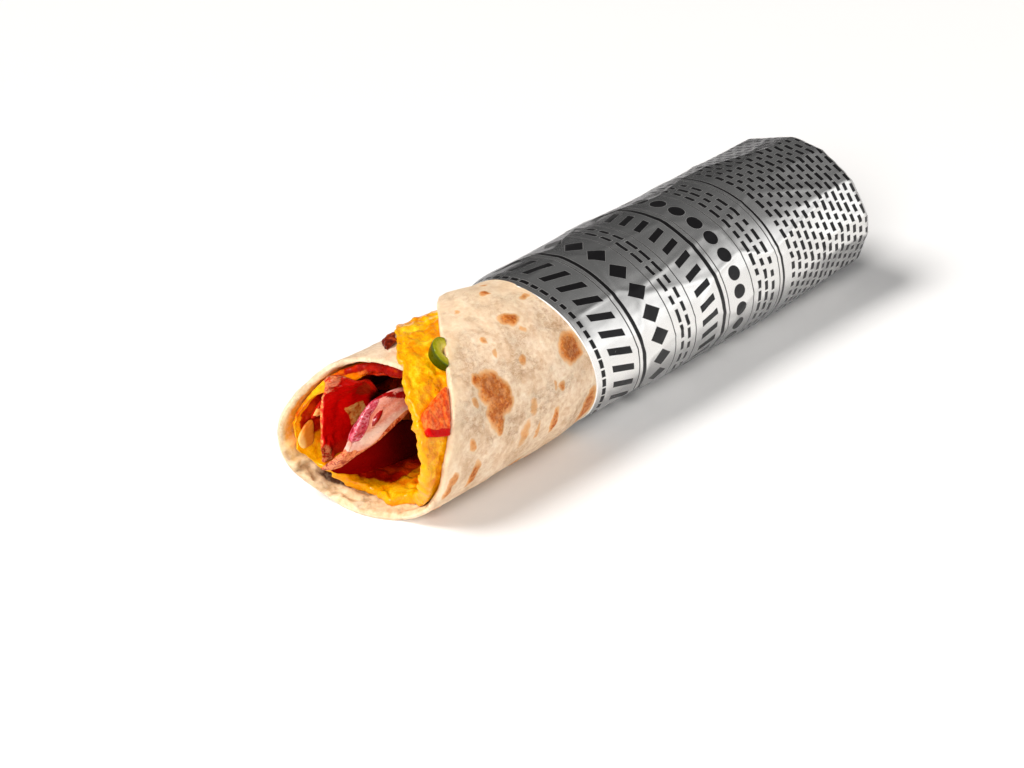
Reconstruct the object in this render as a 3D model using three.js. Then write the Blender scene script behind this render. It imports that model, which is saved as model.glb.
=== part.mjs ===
// Bacon and egg wrap in a foil sleeve, in millimetres.
// The roll lies along Y on the plane Z = 0, with its open mouth at -Y.
// Angles go round the roll in degrees, from +X towards +Z. A sheet is rolled from its outer end, at the
// largest angle, down the right side, under and up the left side to its inner end.
import * as THREE from "three";
import { RoundedBoxGeometry } from "three/addons/geometries/RoundedBoxGeometry.js";

// The roll
const ROLL_RADIUS = 26;
const AXIS_HEIGHT = 24.7; // the underside is pressed flat at this distance from the axis
const GAP = 0.3; // between neighbours
const TURN_STEP = 9; // degrees between the corners of every rolled sheet
// Where every sheet along the roll has a row of corners, behind its own front edge
const ROWS = [-96, -88, -80, -72, -65, -58, -51, -45, -39, -33, -27, -21, -10, 30, 70];
const LEAST_ROW = 0.7;

// The tortilla, a disc before it was rolled
const TORTILLA_THICK = 2.2;
const DISC_RADIUS = 125;
const DISC_FRONT = -93; // the disc's foremost point, were it not pushed out of shape at the lip
const FLAP_END = 135;
const INNER_END = -306;
const INWARD_FROM = -165; // where the second turn starts to go inward

// The egg, rolled in with the tortilla
const EGG_THICK = 2.4;
const EGG_THIN = 1.8; // where the flap presses it
const EGG_FROM = 126;
const EGG_TO = -288;

// How the mouth's edges run round the roll: [angle, Y]
const TORTILLA_LIP = [
  [-306, -77],
  [-285, -81],
  [-245, -85.5],
  [-210, -91],
  [-185, -100],
  [-168, -102.5],
  [-150, -101.5],
  [-120, -96.5],
  [-100, -91.8],
  [-75, -87.8],
  [-35, -87.4],
  [0, -86.1],
];
const EGG_LIP = [
  [-288, -79],
  [-245, -84.5],
  [-206, -93.5],
  [-184, -98.3],
  [-158, -97.5],
  [-107, -89.5],
  [-82, -87.5],
  [-45, -87.5],
  [0, -91],
  [40, -91.4],
  [77, -82],
  [97, -75.7],
  [126, -65],
];

// The foil sleeve. Its sheet was wound on askew, so its edges lean.
const FOIL_THICK = 0.8;
const FOIL_FRONT = -26.9;
const FOIL_BACK = 102.5; // where the sleeve turns in
const FOIL_END = 105.2;
const FOIL_TUCK = 3; // how far the folded end goes in at its middle
const FOIL_LEAN = 0.22;
const FOIL_LEAN_AT = 40; // angle about which the edges lean
const FOIL_PLEATS = 9;
const FOIL_PLEAT_DEPTH = 0.5;

// Where the roll gets tighter on its way into the sleeve
const LOOSE_Y = -66;
const TIGHT_Y = -34;

// The filling's far end
const FILLING_BACK = 93;
const GATHERED_THICK = 6.4; // of a rasher that lies in folds inside the sleeve
const SHEET_BACK = 99.5;

const { lerp, smoothstep, degToRad } = THREE.MathUtils;

// A smooth line through [place, value] pairs in rising order of place.
function through(pairs) {
  const slope = pairs.map((_, i) => {
    const [x0, y0] = pairs[Math.max(i - 1, 0)];
    const [x1, y1] = pairs[Math.min(i + 1, pairs.length - 1)];
    return (y1 - y0) / (x1 - x0);
  });
  return (x) => {
    let i = 0;
    while (i < pairs.length - 2 && x > pairs[i + 1][0]) i++;
    const [x0, y0] = pairs[i];
    const [x1, y1] = pairs[i + 1];
    const span = x1 - x0;
    const t = THREE.MathUtils.clamp((x - x0) / span, 0, 1);
    const bend = slope[i] * span * (1 - t) - slope[i + 1] * span * t + (y1 - y0) * (2 * t - 1);
    return lerp(y0, y1, t) + t * (1 - t) * bend;
  };
}

const tortillaLip = through(TORTILLA_LIP);
const eggMouth = through(EGG_LIP);

// The flap's edge is an arc of the disc; below it the lip is pushed in, and on the left it bulges forward.
function tortillaMouth(angle) {
  if (angle < 0) return tortillaLip(angle);
  const across = ROLL_RADIUS * degToRad(angle + 90);
  return DISC_FRONT + DISC_RADIUS - Math.sqrt(DISC_RADIUS ** 2 - across ** 2);
}

const lean = (angle) => Math.sin(degToRad(angle - FOIL_LEAN_AT));
const foilMouth = (angle) => FOIL_FRONT - FOIL_LEAN * ROLL_RADIUS * lean(angle);
const sheetTail = (angle) => SHEET_BACK - FOIL_LEAN * 23 * lean(angle);
const tight = (y) => smoothstep(y, LOOSE_Y, TIGHT_Y);

// What the flattened underside takes off a radius.
function flattened(angle) {
  const down = Math.cos(degToRad(angle + 90));
  return down * ROLL_RADIUS > AXIS_HEIGHT ? ROLL_RADIUS - AXIS_HEIGHT / down : 0;
}

// Outside of the tortilla where nothing lies under it but its own filling.
function rollOutside(angle, y) {
  const edge = foilMouth(angle);
  const pressed = (FOIL_THICK + GAP) * smoothstep(y, edge - 14, edge - 1);
  return ROLL_RADIUS - pressed - FOIL_PLEAT_DEPTH * smoothstep(y, 50, 90);
}

// The second turn goes inward to make room for the flap and the egg over it.
function innerTurn(angle, y) {
  const to = lerp(-285, -235, tight(y));
  const drop = TORTILLA_THICK + EGG_THICK + 2 * GAP;
  return rollOutside(angle, y) - drop * smoothstep(INWARD_FROM - angle, 0, INWARD_FROM - to);
}

function tortillaOutside(angle, y) {
  if (angle < 0) return innerTurn(angle, y);
  const layers = TORTILLA_THICK + EGG_THIN + 2 * GAP;
  return Math.max(rollOutside(angle, y), innerTurn(angle - 360, y) + layers);
}

const eggOutside = (angle, y) => tortillaOutside(angle, y) - TORTILLA_THICK - GAP;

function eggInside(angle, y) {
  const free = eggOutside(angle, y) - EGG_THICK;
  if (angle < 0) return free;
  return Math.max(free, innerTurn(angle - 360, y) + GAP);
}

// Y of a row of corners between a sheet's front edge and its far end, both of which have a row too.
function rowAt(row, front, back) {
  if (row === 0) return front;
  if (row > ROWS.length) return back;
  return Math.max(ROWS[row - 1], front + LEAST_ROW * row);
}

// A flat sheet, rolled: X of the box goes round the roll, Y through the sheet and Z along the roll.
function rolledSheet({ from, to, outside, inside, mouth, tail }) {
  const last = ROWS.length + 1;
  const sheet = new THREE.BoxGeometry(1, 1, 1, Math.round((from - to) / TURN_STEP), 1, last);
  const place = sheet.attributes.position;
  for (let i = 0; i < place.count; i++) {
    const angle = lerp(from, to, place.getX(i) + 0.5);
    const y = rowAt(Math.round((0.5 - place.getZ(i)) * last), mouth(angle), tail(angle));
    const radius = lerp(inside(angle, y), outside(angle, y), place.getY(i) + 0.5) - flattened(angle);
    const turn = degToRad(angle);
    place.setXYZ(i, radius * Math.cos(turn), y, AXIS_HEIGHT + radius * Math.sin(turn));
  }
  return sheet;
}

// A rasher: a strip along the roll whose cross-section follows a line of [X, height above the axis].
// The line at the mouth turns into another one deeper in, over the stretch of Y called turning.
function rasher({ line, deep, turning, thick, steps, front }) {
  const last = ROWS.length + 1;
  const strip = new THREE.BoxGeometry(1, 1, 1, steps, 1, last);
  const place = strip.attributes.position;
  for (let i = 0; i < place.count; i++) {
    const across = place.getX(i) + 0.5;
    const y = rowAt(Math.round((0.5 - place.getZ(i)) * last), front(across), FILLING_BACK);
    const share = smoothstep(y, ...turning);
    const section = new THREE.SplineCurve(
      line.map((at, k) => new THREE.Vector2(...at).lerp(new THREE.Vector2(...deep[k]), share)),
    );
    const at = section.getPoint(across);
    const ahead = section.getTangent(across);
    const edge = 1 - 0.4 * (2 * across - 1) ** 4;
    const offset = lerp(thick, GATHERED_THICK, smoothstep(y, -62, -20)) * edge * place.getY(i);
    place.setXYZ(i, at.x - ahead.y * offset, y, AXIS_HEIGHT + at.y + ahead.x * offset);
  }
  return strip;
}

// A lump with half sizes along the roll's tangent, its length and its radius, set at an angle round the roll.
function lump(halfSizes, angle, y, radius) {
  const ball = new THREE.SphereGeometry(1, 12, 8);
  ball.scale(...halfSizes);
  return ball.applyMatrix4(onRoll(angle, y, radius));
}

// Local X goes round the roll, Y towards the mouth and Z outward.
function onRoll(angle, y, radius) {
  const turn = degToRad(angle);
  const round = new THREE.Vector3(-Math.sin(turn), 0, Math.cos(turn));
  const out = new THREE.Vector3(Math.cos(turn), 0, Math.sin(turn));
  const frame = new THREE.Matrix4().makeBasis(round, new THREE.Vector3(0, -1, 0), out);
  return frame.setPosition(radius * out.x, y, AXIS_HEIGHT + radius * out.z);
}

// The sleeve: a cup that leans, with its far end folded in.
function foilSleeve() {
  const outer = ROLL_RADIUS;
  const inner = ROLL_RADIUS - FOIL_THICK;
  const rows = [0.12, 0.3, 0.5, 0.7, 0.85].map((share) => lerp(FOIL_FRONT, FOIL_BACK, share));
  const profile = [
    [0, FOIL_END - FOIL_TUCK - FOIL_THICK],
    [inner * 0.5, FOIL_END - FOIL_TUCK * 0.6 - FOIL_THICK],
    [inner * 0.88, FOIL_END - FOIL_THICK],
    [inner, FOIL_BACK],
    ...rows.toReversed().map((y) => [inner, y]),
    [inner, FOIL_FRONT],
    [outer, FOIL_FRONT],
    ...rows.map((y) => [outer, y]),
    [outer, FOIL_BACK],
    [outer * 0.88, FOIL_END],
    [outer * 0.5, FOIL_END - FOIL_TUCK * 0.6],
    [0, FOIL_END - FOIL_TUCK],
  ].map(([radius, y]) => new THREE.Vector2(radius, y));
  const cup = new THREE.LatheGeometry(profile, 360 / TURN_STEP);
  const place = cup.attributes.position;
  for (let i = 0; i < place.count; i++) {
    const turn = Math.atan2(place.getZ(i), place.getX(i));
    const angle = THREE.MathUtils.radToDeg(turn);
    const full = Math.hypot(place.getX(i), place.getZ(i));
    const share = full / ROLL_RADIUS;
    const pleat = FOIL_PLEAT_DEPTH * Math.cos((turn * FOIL_PLEATS) / 2) ** 2;
    const radius = full - share * (flattened(angle) + pleat * smoothstep(place.getY(i), 60, FOIL_END));
    const y = place.getY(i) - FOIL_LEAN * full * lean(angle);
    place.setXYZ(i, radius * Math.cos(turn), y, AXIS_HEIGHT + radius * Math.sin(turn));
  }
  return cup;
}

// A flat dice of tomato that lies on the egg against the flap's edge.
function tomatoDice(sizes, angle, y, radius, turnBy) {
  const dice = new RoundedBoxGeometry(...sizes, 2, 0.9);
  dice.rotateZ(degToRad(turnBy));
  return dice.applyMatrix4(onRoll(angle, y, radius));
}

// A slice of chilli, half of it out from under the flap: part of a ring with its axis outward.
function chilliRing({ outer, inner, height, angle, radius, turnBy }) {
  const ring = new THREE.Shape();
  ring.absarc(0, 0, outer, 0, Math.PI, false);
  ring.absarc(0, 0, inner, Math.PI, 0, true);
  const bevel = 0.4;
  const slice = new THREE.ExtrudeGeometry(ring, {
    depth: height - 2 * bevel,
    bevelSize: bevel,
    bevelThickness: bevel,
    bevelOffset: -bevel,
    bevelSegments: 1,
    curveSegments: 10,
  });
  slice.rotateZ(degToRad(turnBy));
  return slice.applyMatrix4(onRoll(angle, tortillaMouth(angle) - 1.2, radius));
}

const wrap = new THREE.Group();

function add(name, geometry, color, roughness, metalness = 0) {
  const mesh = new THREE.Mesh(geometry, new THREE.MeshStandardMaterial({ color, roughness, metalness }));
  mesh.name = name;
  wrap.add(mesh);
}

add(
  "tortilla",
  rolledSheet({
    from: FLAP_END,
    to: INNER_END,
    outside: tortillaOutside,
    inside: (angle, y) => tortillaOutside(angle, y) - TORTILLA_THICK,
    mouth: tortillaMouth,
    tail: sheetTail,
  }),
  "#dfb27d",
  0.85,
);

add(
  "egg",
  rolledSheet({
    from: EGG_FROM,
    to: EGG_TO,
    outside: eggOutside,
    inside: eggInside,
    mouth: eggMouth,
    tail: (angle) => sheetTail(angle) - 1,
  }),
  "#eb9f0a",
  0.4,
);

const liningOutside = (angle, y) => eggOutside(angle, y) - EGG_THICK - GAP;
add(
  "bacon_lining",
  rolledSheet({
    from: -180,
    to: -270,
    outside: liningOutside,
    inside: (angle, y) => liningOutside(angle, y) - 1.5,
    mouth: (angle) => lerp(eggMouth(angle) + 4.5, -70, smoothstep(-angle, 205, 232)),
    tail: () => FILLING_BACK,
  }),
  "#9c1a10",
  0.35,
);

add(
  "bacon_left",
  rasher({
    line: [
      [-15, -12.6],
      [-15.9, -5],
      [-15.6, 3],
      [-14, 9.5],
      [-11.4, 13.6],
    ],
    deep: [
      [-14.5, -2],
      [-9.5, 4.5],
      [-3, 8],
      [5, 9],
      [12.5, 6.5],
    ],
    turning: [-86, -56],
    thick: 1.6,
    steps: 10,
    front: (across) => -95 + 3 * across,
  }),
  "#a4140e",
  0.3,
);

add(
  "bacon_leaf",
  rasher({
    line: [
      [-3.5, -5.3],
      [-5.6, -0.6],
      [-10, 2.4],
    ],
    deep: [
      [14.5, -1.5],
      [4, 1],
      [-6.5, -2],
    ],
    turning: [-77, -57],
    thick: 1.8,
    steps: 8,
    front: (across) => -97 + 13 * across ** 1.3,
  }),
  "#c8605a",
  0.3,
);

add(
  "bacon_fold",
  rasher({
    line: [
      [-7.2, -17.4],
      [-2.2, -15.9],
      [-0.2, -11],
      [-2.4, -8.2],
      [-6, -6.9],
    ],
    deep: [
      [-11, -11.5],
      [-3, -9.7],
      [5, -8.4],
      [11, -8],
      [15, -8.5],
    ],
    turning: [-80, -54],
    thick: 1.8,
    steps: 12,
    front: (across) => -90.5 - 4 * across,
  }),
  "#7d0c08",
  0.3,
);

add("bacon_crisp", lump([2.2, 2.4, 0.9], 117, -71.4, 24.2), "#7a2c14", 0.5);
add("onion", lump([2.2, 3, 1.2], 196.5, -96, 19.3), "#e3b673", 0.35);

add("tomato", tomatoDice([10.4, 8, 2.5], 37, -84.2, 25.2, -27), "#e4551c", 0.3);

add(
  "chilli",
  chilliRing({ outer: 4.5, inner: 2.3, height: 3.4, angle: 66, radius: 24.2, turnBy: -37 }),
  "#6f8a14",
  0.3,
);

add("foil_sleeve", foilSleeve(), "#c4c2bf", 0.28, 0.9);

// The part's origin is the middle of its footprint.
const middle = new THREE.Box3().setFromObject(wrap, true).getCenter(new THREE.Vector3());
for (const mesh of wrap.children) mesh.geometry.translate(-middle.x, -middle.y, 0);

export default wrap;
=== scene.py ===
"""A bacon and egg wrap, half in a printed foil sleeve, lying on a pale floor.

Lengths are in millimetres until a mesh is made. Angles go round the roll in degrees, from +X towards +Z.
"""

import itertools
import math

import bpy
import numpy as np
from mathutils import Matrix, Vector


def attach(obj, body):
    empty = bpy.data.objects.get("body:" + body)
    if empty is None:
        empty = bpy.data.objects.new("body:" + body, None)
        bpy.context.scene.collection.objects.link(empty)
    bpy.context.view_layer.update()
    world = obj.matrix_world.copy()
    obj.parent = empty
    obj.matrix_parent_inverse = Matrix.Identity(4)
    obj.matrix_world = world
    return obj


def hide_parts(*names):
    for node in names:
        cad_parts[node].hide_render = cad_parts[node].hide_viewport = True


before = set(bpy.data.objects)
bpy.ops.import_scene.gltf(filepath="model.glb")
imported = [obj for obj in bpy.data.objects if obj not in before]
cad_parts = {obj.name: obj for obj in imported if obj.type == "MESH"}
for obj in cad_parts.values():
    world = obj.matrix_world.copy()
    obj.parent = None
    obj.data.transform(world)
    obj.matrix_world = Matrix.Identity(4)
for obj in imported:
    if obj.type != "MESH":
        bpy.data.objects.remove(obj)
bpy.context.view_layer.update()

# The roll, as the solids have it
ROLL_RADIUS = 26.0
AXIS_HEIGHT = 24.7
MIDDLE_Y = 3.8415  # the footprint's middle along the roll
GAP = 0.3
LOOSE_Y, TIGHT_Y = -66.0, -34.0

TORTILLA_THICK = 2.2
DISC_RADIUS, DISC_FRONT = 125.0, -93.0
FLAP_END, INNER_END, INWARD_FROM = 135.0, -306.0, -165.0
EGG_THICK, EGG_THIN = 2.4, 1.8
EGG_FROM, EGG_TO = 126.0, -288.0
EGG_FLOOR_RADIUS = 21.0
LINING_THICK, LINING_FROM, LINING_TO = 1.5, -180.0, -270.0
GATHERED_THICK = 6.4  # a rasher's thickness inside the sleeve
SHEET_BACK, SHEET_RADIUS, FILLING_BACK = 99.5, 23.0, 93.0

FOIL_THICK, FOIL_SKIN = 0.8, 0.3
FOIL_FRONT, FOIL_BACK, FOIL_END = -26.9, 102.5, 105.2
FOIL_TUCK, FOIL_LEAN, FOIL_LEAN_AT = 3.0, 0.22, 40.0
FOIL_PLEAT_DEPTH = 0.5

# Mesh steps across and along, how far behind the front edge they stay fine, and the rows behind that
SHEET_TURN_STEP, SHEET_STEP, SHEET_FINE, SHEET_ROWS = 1.5, 0.66, 64, 26
RASHER_ACROSS_STEP, RASHER_STEP, RASHER_FINE, RASHER_ROWS = 0.45, 0.5, 46, 24

# Corners of the sleeve's folded end: angle and radius
FOIL_CORNERS = [
    (-150, 26.2), (-118, 26.4), (-62, 26.4), (-29, 26.2), (-3, 27.2), (11, 27.5),
    (40, 27.2), (69, 27.5), (90, 27.0), (127, 26.8), (152, 26.4), (180, 26.7),
]

# Front edges of the two sheets: angle and Y
TORTILLA_LIP = [
    (-306, -76), (-285, -79.5), (-245, -84.2), (-210, -91), (-190, -98.8), (-178, -102), (-161, -103),
    (-148, -102.4), (-137, -100.5), (-128, -98.5), (-120, -96.9), (-110, -95.6), (-98, -94.9), (-88, -93.8),
    (-78, -91.6), (-69, -89), (-50, -87.8), (-35, -87.4), (0, -86.1),
]
EGG_LIP = [
    (-288, -78), (-245, -83.4), (-226, -86.6), (-207, -91), (-194, -95), (-184, -97.8), (-174, -99.4),
    (-160, -98.9), (-146, -96.8), (-136, -95.9), (-128, -94.6), (-121, -92.0), (-114, -90.2), (-106, -88.8),
    (-97, -87.8), (-91, -87.4), (-85, -88.4), (-79, -87.6), (-75, -84.8), (-70, -82.6), (-62, -84),
    (-50, -86.8), (-35, -89.3), (-18, -91), (0, -92.7), (12, -92.2), (28, -91), (40, -90.4), (51, -89.2),
    (60, -87.7), (71, -84.2), (82, -81.3), (93, -78), (110, -72.4), (126, -66),
]

# Toasted spots: angle, Y, half size round the roll, half size along it, turn in degrees, strength
TOASTED = [
    (34.2, -64.3, 4.3, 3.6, 20, 1.0), (26.0, -61.5, 4.6, 3.0, 0, 1.0), (18.5, -65.2, 4.2, 2.6, 10, 0.95),
    (8.4, -64.6, 2.2, 1.3, 10, 0.8), (40.9, -67.2, 2.0, 1.7, 0, 0.85), (31.1, -31.2, 4.0, 3.6, 30, 1.05),
    (66.6, -44.9, 1.9, 3.0, 20, 0.9), (-10.8, -41.7, 3.6, 1.3, 8, 0.95), (-20.2, -25.6, 6.0, 2.4, 12, 0.95),
    (11.4, -38.5, 1.3, 1.1, 0, 0.7), (13.9, -41.2, 1.6, 0.7, 0, 0.55), (61.6, -57.3, 1.0, 1.0, 0, 0.62),
    (51.8, -56.5, 1.7, 0.8, 25, 0.5), (38.9, -49.6, 1.6, 1.4, 20, 0.58), (5.4, -75.4, 2.1, 1.2, 0, 0.62),
    (-19.2, -74.2, 4.0, 1.3, 14, 0.85), (-13.1, -82.5, 1.9, 1.5, 0, 0.75), (-19.5, -83.9, 3.6, 1.1, 10, 0.75),
    (93.8, -42.1, 1.1, 1.5, 0, 0.8), (77.6, -33.2, 0.9, 1.7, 0, 0.66), (106.9, -37.1, 1.2, 1.2, 0, 0.66),
    (91.5, -55.1, 1.1, 1.0, 0, 0.6), (-11.3, -49.0, 3.2, 0.7, 8, 0.55), (-7.4, -54.8, 4.2, 1.9, 25, 0.52),
    (29.2, -71.1, 1.5, 0.7, 0, 0.6), (7.9, -50.7, 2.8, 1.5, 5, 0.48), (56.5, -43.7, 1.0, 1.6, 0, 0.45),
]
HIDDEN_SPOTS = 34  # more of them round the back and underneath

# What a rasher's mesh carries for its finish, besides the place across it
BACON_MARKS = ("crisp", "pale", "lean", "blood", "browned", "dark")


def srgb(red, green, blue):
    """A colour as a picture holds it, from 0 to 255, as the light it stands for."""
    parts = [c / 255 for c in (red, green, blue)]
    return tuple(c / 12.92 if c <= 0.04045 else ((c + 0.055) / 1.055) ** 2.4 for c in parts)


# Lumps, steps and lines


def scatter(cell, seed):
    """A fixed number from 0 to 1 for each whole-numbered cell."""
    mixed = np.full(cell.shape[:-1], seed + 1, np.uint64) * np.uint64(0x9E3779B97F4A7C15)
    for k in range(cell.shape[-1]):
        mixed = (mixed ^ cell[..., k].astype(np.int64).astype(np.uint64)) * np.uint64(0xBF58476D1CE4E5B9)
        mixed ^= mixed >> np.uint64(29)
    mixed = mixed * np.uint64(0x94D049BB133111EB)
    mixed ^= mixed >> np.uint64(32)
    return (mixed >> np.uint64(11)).astype(float) / 2.0**53


def lumps(points, size, seed, octaves=1):
    """Smooth lumps about `size` across, from -1 to 1, with finer ones on them."""
    total, weight, full = 0.0, 1.0, 0.0
    for octave in range(octaves):
        place = points / (np.asarray(size) / 2**octave) + 17.3 * octave
        base = np.floor(place)
        part = place - base
        part = part**3 * (part * (part * 6 - 15) + 10)
        value = 0.0
        for corner in itertools.product((0, 1), repeat=points.shape[-1]):
            share = np.prod(np.where(corner, part, 1 - part), axis=-1)
            value = value + share * scatter(base + np.array(corner), seed + 31 * octave)
        total = total + weight * (2 * value - 1)
        full += weight
        weight *= 0.5
    return total / full


def cells(points, size, seed):
    """Distance to the nearest and the second nearest of scattered middles, in cells."""
    place = points / np.asarray(size)
    base = np.floor(place)
    dims = points.shape[-1]
    nearest = np.full(place.shape[:-1], 9.0)
    second = nearest.copy()
    for step in itertools.product((-1, 0, 1), repeat=dims):
        cell = base + np.array(step)
        middle = cell + np.stack([scatter(cell, seed + 7 * k) for k in range(dims)], -1)
        away = np.linalg.norm(middle - place, axis=-1)
        second = np.minimum(second, np.maximum(nearest, away))
        nearest = np.minimum(nearest, away)
    return nearest, second


def smooth(value, low, high):
    """Rises from 0 to 1 as the value goes from low to high."""
    share = np.clip((value - low) / (high - low), 0, 1)
    return share * share * (3 - 2 * share)


def fall(value, low, high):
    """Falls from 1 to 0 as the value goes from low to high."""
    return 1 - smooth(value, low, high)


def window(value, rise_from, rise_to, fall_from, fall_to):
    """Rises to 1 between the first two values and falls again between the last two."""
    return smooth(value, rise_from, rise_to) * fall(value, fall_from, fall_to)


def lerp(start, end, share):
    return start + (end - start) * share


def through(pairs):
    """A smooth line through (place, value) pairs in rising order of place."""
    x, y = np.array(pairs, float).T
    after = np.minimum(np.arange(len(x)) + 1, len(x) - 1)
    before = np.maximum(np.arange(len(x)) - 1, 0)
    slope = (y[after] - y[before]) / (x[after] - x[before])

    def line(at):
        i = np.clip(np.searchsorted(x, at, side="left") - 1, 0, len(x) - 2)
        span = x[i + 1] - x[i]
        t = np.clip((at - x[i]) / span, 0, 1)
        bend = slope[i] * span * (1 - t) - slope[i + 1] * span * t + (y[i + 1] - y[i]) * (2 * t - 1)
        return lerp(y[i], y[i + 1], t) + t * (1 - t) * bend

    return line


# How the sheets lie in the roll

tortilla_lip = through(TORTILLA_LIP)
egg_lip = through(EGG_LIP)


def tortilla_mouth(angle):
    across = ROLL_RADIUS * np.radians(np.maximum(angle, 0) + 90)
    arc = DISC_FRONT + DISC_RADIUS - np.sqrt(DISC_RADIUS**2 - across**2) - 1.4 * smooth(angle, 96, 122)
    return np.where(angle < 0, tortilla_lip(angle), arc)


def lean(angle):
    return np.sin(np.radians(angle - FOIL_LEAN_AT))


def foil_mouth(angle):
    return FOIL_FRONT - FOIL_LEAN * ROLL_RADIUS * lean(angle)


def sheet_tail(angle):
    return SHEET_BACK - FOIL_LEAN * SHEET_RADIUS * lean(angle)


def flattened(angle):
    """What the flat underside takes off a radius."""
    down = np.cos(np.radians(angle + 90))
    cut = ROLL_RADIUS - AXIS_HEIGHT / np.maximum(down, 0.5)
    return np.where(down * ROLL_RADIUS > AXIS_HEIGHT, cut, 0)


def roll_outside(angle, y):
    edge = foil_mouth(angle)
    under_foil = (FOIL_THICK + GAP) * smooth(y, edge - 14, edge - 1)
    return ROLL_RADIUS - under_foil - FOIL_PLEAT_DEPTH * smooth(y, 50, 90)


def inner_turn(angle, y):
    to = lerp(-285, -235, smooth(y, LOOSE_Y, TIGHT_Y))
    drop = TORTILLA_THICK + EGG_THICK + 2 * GAP
    return roll_outside(angle, y) - drop * smooth(INWARD_FROM - angle, 0, INWARD_FROM - to)


def tortilla_outside(angle, y):
    layers = TORTILLA_THICK + EGG_THIN + 2 * GAP
    flap = np.maximum(roll_outside(angle, y), inner_turn(angle - 360, y) + layers)
    return np.where(angle < 0, inner_turn(angle, y), flap)


def tortilla_inside(angle, y):
    return tortilla_outside(angle, y) - TORTILLA_THICK


def egg_outside(angle, y):
    return tortilla_inside(angle, y) - GAP


def egg_inside(angle, y):
    free = egg_outside(angle, y) - EGG_THICK
    return np.where(angle < 0, free, np.maximum(free, inner_turn(angle - 360, y) + GAP))


def lining_outside(angle, y):
    return egg_outside(angle, y) - EGG_THICK - GAP


def lining_inside(angle, y):
    return lining_outside(angle, y) - LINING_THICK


def behind_mouth(angle, y):
    """1 where a sheet has drawn in behind the sleeve's edge."""
    return smooth(y, foil_mouth(angle) + 1, foil_mouth(angle) + 9)


def on_roll(angle, y, radius):
    """Points at a radius round the roll's axis; nothing goes below the floor."""
    turn = np.radians(angle)
    radius = radius - flattened(angle)
    height = np.maximum(AXIS_HEIGHT + radius * np.sin(turn), 0)
    return np.stack([radius * np.cos(turn), np.broadcast_to(y, radius.shape), height], -1)


def unrolled(angle, y):
    """The sheet laid flat: millimetres round the roll and along it."""
    return np.stack(np.broadcast_arrays(ROLL_RADIUS * np.radians(angle), y), -1)


# Meshes


def rounding(half):
    return half * (1 - np.cos(np.radians(np.arange(0, 90, 18))))


def columns(start, end, step, half):
    """Places across a sheet, close together where its two edges are rounded."""
    sign = 1 if end > start else -1
    edge = rounding(half)
    middle = np.arange(half, abs(end - start) - half, step)
    return start + sign * np.concatenate([edge, middle, abs(end - start) - edge[::-1]])


def rows(front, back, half, step, fine, coarse):
    """Places along each column: close at the front edge, fine for a stretch, then few to the back."""
    near = np.concatenate([rounding(half), np.arange(half, fine, step)])
    rest = np.linspace(0, 1, coarse + 1)[1:]
    last = front + near[-1]
    far = last[:, None] + (back - last)[:, None] * rest
    return np.concatenate([front[:, None] + near, far], 1)


def edge_share(away, half):
    """How much of a sheet's thickness is left near a rounded edge."""
    return np.sqrt(1 - (1 - np.clip(away / half, 0, 1)) ** 2)


def piece(name, points, faces, finish, marks=None):
    """A shown piece, in place of the solid of the same name."""
    mesh = bpy.data.meshes.new(name)
    placed = (np.asarray(points) - (0, MIDDLE_Y, 0)) / 1000
    mesh.from_pydata(placed.tolist(), [], faces)
    for mark, values in (marks or {}).items():
        layer = mesh.attributes.new(mark, "FLOAT", "POINT")
        layer.data.foreach_set("value", np.asarray(values, np.float32))
    mesh.shade_smooth()
    mesh.materials.append(finish.material)
    made = bpy.data.objects.new(name + "_shown", mesh)
    bpy.context.scene.collection.objects.link(made)
    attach(made, "root")
    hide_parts(name)


def sheet(name, outer, inner, finish, marks):
    """A shown sheet whose two sides meet along its border. marks: values on the outer and the inner side."""
    top = np.arange(outer[..., 0].size).reshape(outer.shape[:2])
    under = top.copy()
    inside = np.zeros(top.shape, bool)
    inside[1:-1, 1:-1] = True
    under[inside] = top.size + np.arange(inside.sum())

    def quads(grid):
        corners = grid[:-1, :-1], grid[1:, :-1], grid[1:, 1:], grid[:-1, 1:]
        return np.stack(corners, -1).reshape(-1, 4)

    def joined(out, back):
        out, back = np.broadcast_to(out, top.shape), np.broadcast_to(back, top.shape)
        return np.concatenate([out.ravel(), back[inside]])

    points = np.concatenate([outer.reshape(-1, 3), inner[inside]])
    faces = np.concatenate([quads(top), quads(under)[:, ::-1]]).tolist()
    piece(name, points, faces, finish, {mark: joined(*sides) for mark, sides in marks.items()})


def capped(rings, around):
    """Faces of rings of points, one above the other, that close in a point under and a point over them."""
    index = np.arange(rings * around).reshape(rings, around)
    ahead = np.roll(index, -1, 1)
    faces = np.stack([index[:-1], ahead[:-1], ahead[1:], index[1:]], -1).reshape(-1, 4).tolist()
    faces += [(index.size, b, a) for a, b in zip(index[0].tolist(), ahead[0].tolist())]
    faces += [(index.size + 1, a, b) for a, b in zip(index[-1].tolist(), ahead[-1].tolist())]
    return faces


def squared(value, boxy):
    return np.sign(value) * np.abs(value) ** boxy


def ball(halves, boxy):
    """Points and faces of a rounded block. boxy 1 is an ellipsoid, less is squarer."""
    around, up = 64, 40
    turn = np.linspace(0, 2 * np.pi, around, endpoint=False)[None, :]
    rise = np.linspace(-np.pi / 2, np.pi / 2, up + 1)[1:-1, None]
    x = squared(np.cos(rise), boxy) * squared(np.cos(turn), boxy)
    y = squared(np.cos(rise), boxy) * squared(np.sin(turn), boxy)
    z = squared(np.sin(rise), boxy) * np.ones_like(turn)
    ring = np.stack([x, y, z], -1).reshape(-1, 3)
    points = np.concatenate([ring, [[0, 0, -1], [0, 0, 1]]]) * halves
    return points, capped(up - 1, around)


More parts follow.
